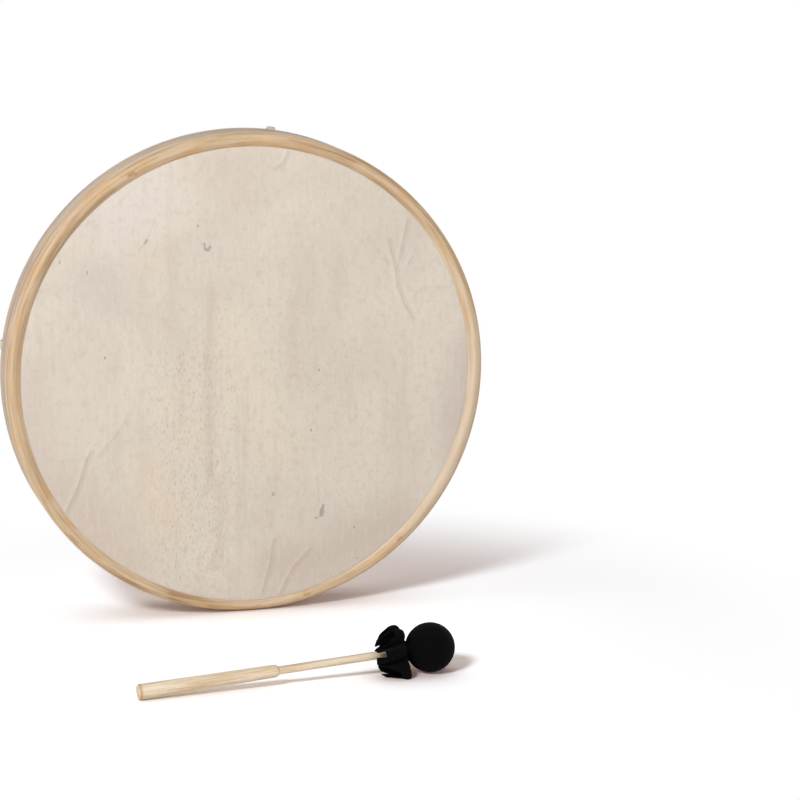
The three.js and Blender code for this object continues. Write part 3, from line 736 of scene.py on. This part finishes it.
# The rim's hoops, from back to front
SEGMENTS = 256
SMALL_EDGE = 0.5
FLESH_BACK_EDGE = 1
INNER_FACES = INNER + 1.2

# Where the front ring's inner edge leaves a true circle: degrees from the top, half width, and how far out
LIP_WAVES = [(174, 30, 3.7), (100, 24, -1.8), (-57, 26, 0.8)]
BEVEL_CURVE = 1.4

# The skin has slight waves, and its outer edge is ragged and lies just inside the rim
SKIN_ROWS = [6 * i for i in range(1, 39)]
SKIN_INSET = 0.1
TAUT_RADIUS = 232
SKIN_WAVES = 0.12
RAGGED_FROM = 249
RAGGED_EDGE = 0.35
# How thickly follicles grow outside their own areas, of 1 inside
LEAST_GROWTH = 0.12


def hand_made_lip(angle, radius, depth):
    """The bevel was shaved by hand, so the ring's inner edge isn't quite round."""
    crest = RIM - RING_CREST
    share = clamp((crest - radius) / (crest - (REBATE - RING_LIP)))
    place = degrees(angle)
    shift = sum(mm * exp(-(((place - at + 180) % 360 - 180) / wide) ** 2) for at, wide, mm in LIP_WAVES)
    return radius + shift * share, depth


def shell_profile():
    front = SHELL_FRONT
    return ([(INNER, front + SMALL_EDGE), (INNER + SMALL_EDGE, front), (RIM - SMALL_EDGE, front),
             (RIM, front + SMALL_EDGE)]
            + arc((RIM - BACK_ROUND, DEPTH - BACK_ROUND), BACK_ROUND, 0, 90, 8)
            + arc((INNER + BACK_INNER_ROUND, DEPTH - BACK_INNER_ROUND), BACK_INNER_ROUND, 90, 180, 6))


def slot_y(radius):
    return BACK_Y - SLOT_FROM_BACK + (radius - RIM) * SLOT_SLANT / WALL


def slot_cutter(arm):
    """A rounded bar through the rim where a lace goes in."""
    past_wall = 8
    half_height = LACE_THICK / 2 + SLOT_FLAT_ROOM
    half_width = LACE_WIDTH / 2 + SLOT_SIDE_ROOM
    outline = arc((half_width - half_height, 0), half_height, -90, 90, 10)
    outline += arc((half_height - half_width, 0), half_height, 90, 270, 10)
    return tube([at_arm(arm, [(x, slot_y(radius) + y, radius) for x, y in outline])
                 for radius in (INNER - past_wall, RIM + past_wall)])


def make_shell():
    """The back hoop with its four slots. Its inside is the browner wood."""
    shell = piece("shell", *lathe(shell_profile()), shell_wood_and_shade, "drum", "hoop_wood", "shell_hoop", 50)
    cutter = add_object("slots", new_mesh("slots", *join_parts([slot_cutter(arm) for arm in ARMS])))
    apply(shell, "BOOLEAN", operation="DIFFERENCE", object=cutter, solver="EXACT")
    bpy.data.objects.remove(cutter)
    mesh = shell.data
    smooth_but_sharp(mesh, 40)
    mesh.materials.clear()
    mesh.materials.append(shell_wood_and_shade)
    mesh.materials.append(inner_wood)
    for face in mesh.polygons:
        inside = hypot(face.center.x, face.center.z) < INNER_FACES * MM
        face.material_index = 1 if inside else 0


def flesh_profile():
    front = SKIN_DEPTH + SKIN_THICK + SEAT
    back = SHELL_FRONT - FLESH_BACK_GAP
    return ([(INNER, front + SMALL_EDGE), (INNER + SMALL_EDGE, front)]
            + arc((FLESH_OUTER - FLESH_ROUND, front + FLESH_ROUND), FLESH_ROUND, -90, 0, 5)
            + [(FLESH_OUTER, back), (INNER + FLESH_BACK_EDGE, back), (INNER, back - FLESH_BACK_EDGE)])


def ring_profile():
    """From the lip over the soft bevel to the round crest, then back and in to the rebate for the skin."""
    crest = RIM - RING_CREST
    lip = REBATE - RING_LIP
    back = SKIN_DEPTH - SEAT
    shares = [i / 10 for i in range(11)]
    return ([(lip, back)]
            + [(between(lip, crest, share), RING_FALL * (1 - share) ** BEVEL_CURVE) for share in shares]
            + arc((crest, RING_ROUND), RING_CREST, 270, 360, 10, RING_ROUND)[1:]
            + [(RIM, RING_DEPTH - RING_CHAMFER), (RIM - RING_CHAMFER, RING_DEPTH),
               (REBATE, RING_DEPTH), (REBATE, back)])


def uneven_hide(angle, radius, depth):
    if radius < TAUT_RADIUS:
        calm = 1 - (radius / TAUT_RADIUS) ** 4
        depth -= SKIN_WAVES * calm * sin(radius * 0.05 * sin(angle) + 1) * sin(radius * 0.03 * cos(angle))
    if radius > RAGGED_FROM:
        radius -= RAGGED_EDGE + RAGGED_EDGE * sin(11 * angle) * sin(4 * angle + 1)
    return radius, depth


def make_skin():
    """One hide: a taut disc that turns down over the flesh hoop and comes out under the ring."""
    corner = (FLESH_OUTER - FLESH_ROUND, SKIN_DEPTH + SKIN_THICK + SEAT + FLESH_ROUND)
    wall = FLESH_OUTER + SEAT
    flange = RING_DEPTH + SEAT
    end = RIM - SKIN_INSET
    profile = [(radius, SKIN_DEPTH) for radius in SKIN_ROWS]
    profile += arc(corner, FLESH_ROUND + SEAT + SKIN_THICK, -90, 0, 6)
    profile += [(wall + SKIN_THICK, flange), (end, flange)]
    profile += [(end, flange + SKIN_THICK), (wall, flange + SKIN_THICK)]
    profile += arc(corner, FLESH_ROUND + SEAT, 0, -90, 6)
    profile += [(radius, SKIN_DEPTH + SKIN_THICK) for radius in reversed(SKIN_ROWS)]
    points, faces = lathe(profile, uneven_hide, closed=False)
    front, back, count = len(points), len(points) + 1, len(profile)
    points += [(0, FRONT_Y + SKIN_DEPTH, 0), (0, FRONT_Y + SKIN_DEPTH + SKIN_THICK, 0)]
    for s in range(SEGMENTS):
        t = (s + 1) % SEGMENTS
        faces += [(front, s * count, t * count), (back, t * count + count - 1, s * count + count - 1)]
    made = piece("skin", points, faces, hide, "drum", "hide", "drum_skin", 40)
    tint_skin(made.data)


def path_gap(x, z, path):
    """Distance in the skin's plane from a point to a path, in millimetres."""
    nearest = inf
    for (x0, z0), (x1, z1) in zip(path, path[1:]):
        dx, dz = x1 - x0, z1 - z0
        share = clamp(((x - x0) * dx + (z - z0) * dz) / (dx * dx + dz * dz))
        nearest = min(nearest, hypot(x - x0 - dx * share, z - z0 - dz * share))
    return nearest


def fade(gap, start, end):
    """1 up to the start, 0 from the end, and smooth between."""
    return ease(clamp((end - gap) / (end - start)))


def tint_skin(mesh):
    """Keeps the hide's broad tones, and where its follicles grow, in colour attributes."""
    tone = mesh.color_attributes.new("tone", "FLOAT_COLOR", "POINT")
    growth = mesh.color_attributes.new("growth", "FLOAT_COLOR", "POINT")
    for i, vertex in enumerate(mesh.vertices):
        x, z = vertex.co.x / MM, vertex.co.z / MM
        total, cover = Vector((0, 0, 0)), 0
        for path, wide, tint, strength in SKIN_TONES:
            mask = strength * fade(path_gap(x, z, path), 0, wide)
            total = total * (1 - mask) + Vector(srgb(*tint)[:3]) * mask
            cover = cover * (1 - mask) + mask
        tone.data[i].color = (*(total / max(cover, 0.001)), cover)
        growth.data[i].color = [between(LEAST_GROWTH, 1, fade(path_gap(x, z, area), 0.3 * wide, wide))
                                for area, wide, *_ in SKIN_FOLLICLES]


make_shell()
piece("flesh_ring", *lathe(flesh_profile()), inner_wood, "drum", "hoop_wood", "flesh_hoop", 50)
piece("front_ring", *lathe(ring_profile(), hand_made_lip), ring_wood, "drum", "hoop_wood", "clamp_ring", 40)
make_skin()


# Laces. A knot's path is a trefoil: its size across, along and through, how far its loops go, and its strand
KNOT_SIZE = (1.18, 1.25, -1.9)
KNOT_LOOPS = 1.45
KNOT_STRAND = (2, 1.7)
KNOT_LEAN = Vector((0.2, 0.3, 1))
TAIL_DROOP = 1.2

# Over the rim a lace is stretched: at what radius, how far each way, and how much wider and thinner
STRETCH_AT, STRETCH_REACH = 247, 7
WIDER, THINNER = 1.2, 0.5


def lace_half(over, arm):
    """Middle line of half a lace: from the crossing over the rim, in by its slot, and out to its tail."""
    crossing = over * (LACE_THICK + SEAT) / 2
    slant = atan(SLOT_SLANT / WALL)
    edge = RIM - BACK_ROUND
    fold = LACE_THICK / 2 + SLOT_FLAT_ROOM
    fold_radius = LACE_RIM - LACE_THICK / 2 - fold
    fold_y = slot_y(fold_radius + fold * sin(slant)) + fold * cos(slant)
    line = [(0, crossing), (CROSS_OVER_START, crossing)]
    for i in range(1, 9):
        share = i / 8
        line.append((between(CROSS_OVER_START, CROSS_OVER_END, share), crossing * (1 - ease(share))))
    line += [(between(CROSS_OVER_END, edge, i / 30), 0) for i in range(1, 30)]
    line += arc((edge, -BACK_ROUND - LACE_LIFT), BACK_ROUND + LACE_LIFT, 90, 0, 10)
    line += arc((fold_radius, fold_y), fold, 0, degrees(slant) - 90, 8)
    knot_back = INNER - SEAT
    for radius in (INNER + 4, INNER, knot_back - KNOT_LENGTH * 0.5, knot_back - KNOT_LENGTH):
        line.append((radius, slot_y(radius)))
    points = [Vector((0, y, radius)) for radius, y in line]
    heading = Vector((TAIL_SIDEWAYS[arm], -TAIL_FORWARDS, -1)).normalized()
    start = points[-1]
    for i in range(1, 7):
        share = i / 6
        points.append(start + heading * TAIL_LENGTH[arm] * share - Vector((0, TAIL_DROOP, 0)) * share * share)
    return at_arm(arm, points)


def strap_section(width, thick, corner=1, steps=3):
    x, y = width / 2 - corner, thick / 2 - corner
    corners = [(x, y, 0), (-x, y, 90), (-x, -y, 180), (x, -y, 270)]
    return [p for x, y, start in corners for p in arc((x, y), corner, start, start + 90, steps)]


def knot(arm):
    """A pulled-tight overhand knot: a strand that goes three times round itself, and through the middle."""
    steps = 72
    across, along, through = KNOT_SIZE
    path = []
    for i in range(steps):
        t = tau * i / steps
        path.append(Vector((across * (sin(t) + KNOT_LOOPS * sin(2 * t)),
                            along * (cos(t) - KNOT_LOOPS * cos(2 * t)), through * sin(3 * t))))
    middle = INNER - SEAT - KNOT_LENGTH / 2
    centre = Vector((0, slot_y(middle), middle))
    rings = []
    for i, place in enumerate(path):
        ahead = (path[(i + 1) % steps] - path[i - 1]).normalized()
        side = ahead.cross(KNOT_LEAN).normalized()
        up = ahead.cross(side)
        rings.append(at_arm(arm, [centre + place + side * x * KNOT_STRAND[0] + up * y * KNOT_STRAND[1]
                                  for x, y in round_section(1, 10)]))
    return tube(rings + [rings[0]], closed_ends=False)


def make_lace(name, first, second, over, node):
    """One strap from slot to slot, with a knot at each end. It is wider and thinner over the rim."""
    path = lace_half(over, first)[::-1] + lace_half(over, second)[1:]
    across, = at_arm(first, [(1, 0, 0)])

    def section(share):
        place = path[round(share * (len(path) - 1))]
        stretched = exp(-((hypot(place.x, place.z) - STRETCH_AT) / STRETCH_REACH) ** 2)
        uneven = 0.25 * sin(37 * share) + 0.15 * sin(91 * share)
        return strap_section(LACE_WIDTH + uneven + WIDER * stretched, LACE_THICK - THINNER * stretched)

    parts = [tube(sweep(path, section, across)), knot(first), knot(second)]
    piece(name, *join_parts(parts), leather, "drum", "lace_leather", node, 50)


make_lace("upright_lace", "top", "bottom", 1, "lace_upright")
make_lace("level_lace", "left", "right", -1, "lace_level")


# The wound grip: fine cord over a core
CORD = 1.05
HUB_PITCH = 1.04
POLE_GAP = 0.9
LACE_GAP = 1.6
CORE_INSIDE = 0.9
ARM_PITCH = 1.06
ARM_CORD_LIFT = 0.75
ARM_INTO_HUB = 1.2
ARM_CORNERS = 0.7


class Meridian:
    """The hub's outline from its back pole to its front pole, by length along it."""

    def __init__(self, inside, steps=400):
        radius, height = HUB_DIAMETER / 2 - inside, HUB_HEIGHT / 2 - inside
        power = 2 / HUB_FULLNESS
        self.points = []
        for i in range(steps + 1):
            out, back = sin(pi * i / steps), cos(pi * i / steps)
            self.points.append((radius * abs(out) ** power, height * copysign(abs(back) ** power, back)))
        self.lengths = [0]
        for a, b in zip(self.points, self.points[1:]):
            self.lengths.append(self.lengths[-1] + dist(a, b))
        self.length = self.lengths[-1]

    def at(self, length):
        length = clamp(length, 0, self.length)
        i = max(bisect_left(self.lengths, length), 1)
        share = (length - self.lengths[i - 1]) / (self.lengths[i] - self.lengths[i - 1])
        (r0, y0), (r1, y1) = self.points[i - 1:i + 1]
        return between(r0, r1, share), between(y0, y1, share)

    def point(self, length, angle):
        """The place at a length along the outline, for an angle round the hub, which is slightly squared."""
        radius, y = self.at(length)
        squared = radius * (1 + HUB_SQUARENESS * cos(4 * (angle - CROSS_TURN)))
        return Vector((squared * sin(angle), y, squared * cos(angle)))


def make_core():
    shape = Meridian(CORE_INSIDE)
    rings = [[shape.point(shape.length * i / 40, tau * s / 96) for s in range(96)] for i in range(1, 40)]
    piece("grip_core_body", *tube(rings), cotton, "drum", "cotton_cord", "grip_core", 60)


def make_hub():
    """A spiral out over the back face, down between two arms, and in again over the front face."""
    per_turn = 40
    shape = Meridian(CORD / 2)
    beside_lace = shape.length / 2 - LACE_THICK / 2 - LACE_GAP
    turns = int((beside_lace - POLE_GAP) / HUB_PITCH)
    steps = turns * per_turn
    path = []
    for i in range(steps + 1):
        angle = CROSS_TURN + pi / 8 - (steps - i) * tau / per_turn
        path.append(shape.point(POLE_GAP + HUB_PITCH * i / per_turn, angle))
    end = POLE_GAP + HUB_PITCH * turns
    for i in range(1, 12):
        share = i / 12
        length = end + (shape.length - 2 * end) * ease(share)
        path.append(shape.point(length, CROSS_TURN + pi / 8 + pi / 4 * share))
    for i in range(steps + 1):
        angle = CROSS_TURN + 3 * pi / 8 + i * tau / per_turn
        path.append(shape.point(shape.length - end + HUB_PITCH * i / per_turn, angle))
    piece("grip_cord", *cord_tube(path, CORD, 7, Vector((0, 1, 0))), cotton, "drum", "cotton_cord",
          "grip_winding", 180)


def make_arm(arm):
    """Cord wound close round one lace, from beside the hub outwards."""
    per_turn = 26
    inner = HUB_DIAMETER / 2 * (1 + HUB_SQUARENESS) - ARM_INTO_HUB
    outer = ARM_REACH[arm] - CORD / 2
    half_width, half_thick = LACE_WIDTH / 2 + ARM_CORD_LIFT, LACE_THICK / 2 + ARM_CORD_LIFT
    steps = int((outer - inner) / ARM_PITCH) * per_turn
    path = []
    for i in range(steps + 1):
        swell = 1 + 0.05 * sin(i * 0.011 + ARMS[arm]) + random.uniform(-0.012, 0.012)
        c, s = polar(1, tau * i / per_turn)
        path.append((half_width * copysign(abs(c) ** ARM_CORNERS, c) * swell,
                     half_thick * copysign(abs(s) ** ARM_CORNERS, s) * swell,
                     between(inner, outer, i / steps)))
    *path, across = at_arm(arm, path + [(0, 0, 1)])
    piece(f"arm_cord_{arm}", *cord_tube(path, CORD, 6, across), cotton, "drum", "cotton_cord",
          f"arm_winding_{arm}", 180)


make_core()
make_hub()
for arm_name in ARMS:
    make_arm(arm_name)


# The beater, made in its own frame


def shaft_radius(along):
    share = (along - HANDLE_LENGTH) / (SHAFT_END - HANDLE_LENGTH)
    return between(SHAFT_BACK, SHAFT_FRONT, share)


SHAFT_END = BEATER_REACH + SHAFT_INTO_HEAD
NEAR_AXIS = 0.05
UNDER_CLOTH = 0.8
LUMPS = 0.006
NECK_LENGTH = 7
PLEAT_DEPTH = 0.8
TIE_CORD = 1.4
TIE_PITCH = 1.7
TIE_LIFT = 0.3
neck_radius = shaft_radius(BEATER_REACH - HEAD_RADIUS) + SEAT + GATHER
neck_front = BEATER_REACH - sqrt(HEAD_RADIUS ** 2 - neck_radius ** 2)
neck_back = neck_front - NECK_LENGTH


def turned(profile, segments=64):
    """A section of radius and place along the beater, turned about its axis, where it starts and ends."""
    return tube([[(*polar(radius, tau * s / segments), along) for s in range(segments)]
                 for radius, along in profile])


def make_stick():
    """The tapering handle with its rounded end and shoulder, and the thin shaft up into the head."""
    fall = HANDLE_FRONT - shaft_radius(HANDLE_LENGTH)
    straight = HANDLE_LENGTH - SHOULDER_ROUND
    shares = [i / 24 for i in range(1, 25)]
    profile = [(NEAR_AXIS, 0)] + arc((HANDLE_END - END_CHAMFER, END_CHAMFER), END_CHAMFER, -90, 0, 8)
    profile += [(between(HANDLE_END, HANDLE_FRONT, share), between(END_CHAMFER, straight, share))
                for share in shares]
    profile += arc((HANDLE_FRONT - fall, straight), fall, 0, 90, 10, SHOULDER_ROUND)[1:]
    for share in shares:
        along = between(HANDLE_LENGTH, SHAFT_END, share)
        profile.append((shaft_radius(along), along))
    profile.append((NEAR_AXIS, SHAFT_END))
    piece("stick", *turned(profile), beater_wood, "beater", "beater_wood", "beater_stick", 32)


def make_padding():
    """A slightly lumpy ball with a bore for the shaft, loose under the cloth."""
    radius = HEAD_RADIUS - CLOTH - UNDER_CLOTH
    bore = shaft_radius(BEATER_REACH - radius) + SEAT
    last = pi - asin(bore / radius)
    profile = [(NEAR_AXIS, BEATER_REACH + radius)]
    for i in range(1, 29):
        angle = last * i / 28
        lumpy = radius * (1 - LUMPS * (1 + sin(5 * angle)))
        profile.append((lumpy * sin(angle), BEATER_REACH + lumpy * cos(angle)))
    profile += [(bore, SHAFT_END + SEAT), (NEAR_AXIS, SHAFT_END + SEAT)]
    made = piece("padding", *turned(profile), felt, "beater", "padding_felt", "beater_padding", 50)


# The hem of the frill: away from the viewer, up and behind the head's middle, in millimetres. It starts on
# the far side and runs over the top to the viewer's side and back underneath, in folds.
HEM = [
    (19, 3, 45), (22, 8, 42), (15, 10, 49), (9, 6, 53),
    (13, 15, 47), (10, 23, 38), (3, 23, 40), (2, 12, 51),
    (-3, 17, 51), (-7, 24, 40), (-13, 21, 39), (-14, 13, 50), (-8, 8, 57),
    (-14, 7, 57), (-20, 9, 52), (-23, 4, 52), (-20, -2, 56), (-12, 1, 58),
    (-13, -5, 58), (-20, -7, 52), (-23, -12, 40), (-21, -18, 36), (-18, -22, 33),
    (-11, -22, 42), (-6, -20, 50),
    (-8, -12, 55), (-1, -9, 54), (1, -17, 48), (5, -21, 43), (11, -20, 42), (13, -14, 47),
    (8, -8, 52), (13, -8, 49), (19, -10, 45), (21, -4, 43), (15, 0, 52),
]
# Cuts in the hem: place along it, in points of the list above, and depth in rows
HEM_CUTS = [(24.4, 10), (25.6, 11)]
HEM_RIPPLE = 0.5
FRILL_TWIST = 0.12
# How the frill's curve leaves the neck and reaches the hem: a share outwards, and how far along the beater
NECK_PULL, HEM_PULL = (1.35, 6), (0.16, 8)
OVER_FLOOR = 0.2


def curve_point(points, at):
    """A smooth closed curve through points."""
    i = int(at)
    t = at - i
    a, b, c, d = (Vector(points[(i + k) % len(points)]) for k in (-1, 0, 1, 2))
    bend, twist = 2 * a - 5 * b + 4 * c - d, 3 * b - a - 3 * c + d
    return 0.5 * (2 * b + (c - a) * t + bend * t * t + twist * t ** 3)


def floor_under(along):
    """How far below the beater's axis the floor is."""
    return HANDLE_END + (along - END_CHAMFER) * tan(beater_tilt)


def neck_pleat(angle):
    return 0.35 * sin(17 * angle) + 0.25 * sin(29 * angle + 1)


def frill_point(out, share):
    """A point of the free cloth, from 0 at the neck to 1 at the hem, at a share of the way round."""
    hem_x, hem_y, behind = curve_point(HEM, share * len(HEM))
    behind += HEM_RIPPLE * sin(61 * share * pi) * sin(17 * share * pi)
    angle = tau * share + FRILL_TWIST
    start = Vector((*polar(neck_radius - PLEAT_DEPTH + neck_pleat(angle), angle), BEATER_REACH - neck_back))
    end = Vector((hem_x, hem_y, behind))
    first = start + Vector((start.x, start.y, 0)) * NECK_PULL[0] - Vector((0, 0, NECK_PULL[1]))
    last = end + Vector((hem_x, hem_y, 0)) * HEM_PULL[0] - Vector((0, 0, HEM_PULL[1]))
    place = (start * (1 - out) ** 3 + first * (3 * out * (1 - out) ** 2)
             + last * (3 * out * out * (1 - out)) + end * out ** 3)
    along = BEATER_REACH - place.z
    return Vector((place.x, max(place.y, CLOTH / 2 + OVER_FLOOR - floor_under(along)), along))


def hem_cut_faces(columns, rows):
    """The faces that the cuts leave out: each cut is widest at the hem, and ends in a point."""
    cut = set()
    for at, depth in HEM_CUTS:
        column = round(at / len(HEM) * columns)
        for row in range(depth):
            wide = 1 + row // 3
            cut.update((rows - depth + row) * columns + (column + k) % columns for k in range(wide))
    return cut


def make_cover():
    """One cloth: over the padding, gathered at the neck, and free behind it as a frill."""
    columns, head_rows, frill_rows = 360, 40, 30
    angles = [tau * s / columns for s in range(columns)]
    rings = []
    last = pi - asin(neck_radius / HEAD_RADIUS)
    for i in range(1, head_rows + 1):
        turn = last * i / head_rows
        gathered = (i / head_rows) ** 5
        ring = []
        for angle in angles:
            fold = 0.5 * sin(17 * angle + 0.6 * sin(3 * angle)) + 0.3 * sin(29 * angle + 1)
            radius = HEAD_RADIUS - CLOTH / 2 + gathered * fold - gathered * 0.5
            ring.append((*polar(radius * sin(turn), angle), BEATER_REACH + radius * cos(turn)))
        rings.append(ring)
    for i in range(1, 4):
        along = between(neck_front, neck_back, i / 4)
        rings.append([(*polar(neck_radius - PLEAT_DEPTH + neck_pleat(a), a), along) for a in angles])
    for i in range(frill_rows + 1):
        rings.append([frill_point(i / frill_rows, s / columns) for s in range(columns)])
    points, faces = tube(rings, closed_ends=False)
    cut = hem_cut_faces(columns, len(rings) - 1)
    faces = [tuple(reversed(face)) for i, face in enumerate(faces) if i not in cut]
    tip = len(points)
    points.append((0, 0, BEATER_REACH + HEAD_RADIUS - CLOTH / 2))
    faces += [(tip, s, (s + 1) % columns) for s in range(columns)]
    made = piece("cover", points, faces, black_cloth, "beater", "black_cloth", "beater_cover", 180)
    apply(made, "SOLIDIFY", thickness=CLOTH * MM, offset=0)
    made.data.shade_smooth()


def make_tie():
    """Two turns of dark cord round the neck."""
    per_turn = 48
    middle = (neck_front + neck_back) / 2
    turns = [i / per_turn for i in range(2 * per_turn + 1)]
    path = [Vector((*polar(neck_radius + TIE_LIFT, tau * t), middle + TIE_PITCH * (t - 1))) for t in turns]
    piece("tie", *cord_tube(path, TIE_CORD, 8, Vector((0, 0, 1))), black_cloth, "beater", "black_cloth",
          "beater_tie", 180)


make_stick()
make_padding()
make_cover()
make_tie()


# What the camera sees of the floor: its light and shade, a warm glow under them, painted contact shade near
# the drum and the beater, and plain white farther off
FLOOR_SEEN = (1.30, 1.49, 1.62, 1)
FLOOR_SEEN_NEAR = (0.88, 0.86, 0.86, 1)
FLOOR_GLOW = (0.17, 0.05, 0, 1)
FLOOR_GLOW_NEAR = (0.05, 0.01, 0, 1)
NEAR_REACH = 0.12
WHITE_MIDDLE = (0.02, -0.16, FLOOR_Z)
WHITE_FROM, WHITE_TO = 0.26, 0.60
WHITE = (1, 1, 1, 1)
FLOOR_HALF = 9

# Light from all round: strong from low down, most from behind, and weak from above, which keeps the shadows
SIDE_LIGHT = 1.68
TOP_LIGHT = 0.08
BEHIND_LIGHT = 2.6
LAMPS_AIM = Vector((0, -0.1, -0.05))


def make_floor():
    """A pale floor. Seen by the camera it is white, keeps a share of the object's shadow, and has painted
    contact shade close to the object.
    """
    low, high = -FLOOR_HALF, FLOOR_HALF
    mesh = bpy.data.meshes.new("floor")
    corners = [(x, y, FLOOR_Z) for x, y in ((low, low), (high, low), (high, high), (low, high))]
    mesh.from_pydata(corners, [], [(0, 1, 2, 3)])
    floor = add_object("floor", mesh)
    made, tree = material("floor")
    mesh.materials.append(made)
    lit = tree.node("BsdfDiffuse", {"Color": (0.80, 0.80, 0.80, 1)})
    # Painted contact shade: where ambient occlusion finds the drum or the beater close by, the floor's seen
    # colour and glow turn darker.
    near = tree.node("AmbientOcclusion", {"Distance": NEAR_REACH}, samples=12).outputs["AO"]
    open_floor = tree.ramp(near, 0.30, 0.95)
    seen_shadow = tree.node("BsdfDiffuse", {"Color": tree.mix(open_floor, FLOOR_SEEN_NEAR, FLOOR_SEEN)})
    tint = tree.mix(open_floor, FLOOR_GLOW_NEAR, FLOOR_GLOW)
    glow = tree.node("Emission", {"Color": tint, "Strength": 1})
    seen = tree.node("AddShader", {0: seen_shadow.outputs[0], 1: glow.outputs[0]})
    white = tree.node("Emission", {"Color": WHITE, "Strength": 1})
    far = tree.ramp(tree.vector("DISTANCE", tree.object_place(), WHITE_MIDDLE), WHITE_FROM, WHITE_TO)
    fading = tree.node("MixShader", {0: far, 1: seen.outputs[0], 2: white.outputs[0]})
    shown = tree.node("MixShader", {0: tree.looked_at(), 1: lit.outputs[0], 2: fading.outputs[0]})
    tree.node("OutputMaterial", {"Surface": shown.outputs[0]})


def make_world():
    """Soft low light from all round, with a white background."""
    world = bpy.data.worlds.new("world")
    scene.world = world
    tree = Tree(world)
    _, behind, height = tree.split(tree.node("TexCoord").outputs["Generated"])
    strength = tree.ramp(tree.math("ABSOLUTE", height), 0.05, 0.40, SIDE_LIGHT, TOP_LIGHT)
    strength = tree.times(strength, tree.ramp(behind, 0, 1, 1, BEHIND_LIGHT))
    soft = tree.node("Background", {"Color": (0.97, 0.98, 1, 1), "Strength": strength})
    white = tree.node("Background", {"Color": WHITE, "Strength": 1})
    shown = tree.node("MixShader", {0: tree.looked_at(), 1: soft.outputs[0], 2: white.outputs[0]})
    tree.node("OutputWorld", {"Surface": shown.outputs[0]})


def make_lamp(name, place, size, power, colour=(1, 1, 1)):
    data = bpy.data.lights.new(name, "AREA")
    data.shape = "DISK"
    data.size = size
    data.energy = power
    data.color = colour
    aim(add_object(name, data), place, LAMPS_AIM - Vector(place))


make_floor()
make_world()
make_lamp("key", (-1.75, -2.1, 1.9), 0.8, 72, (1, 0.985, 0.965))
make_lamp("fill", (1.6, -2.6, 1.5), 1.6, 5)
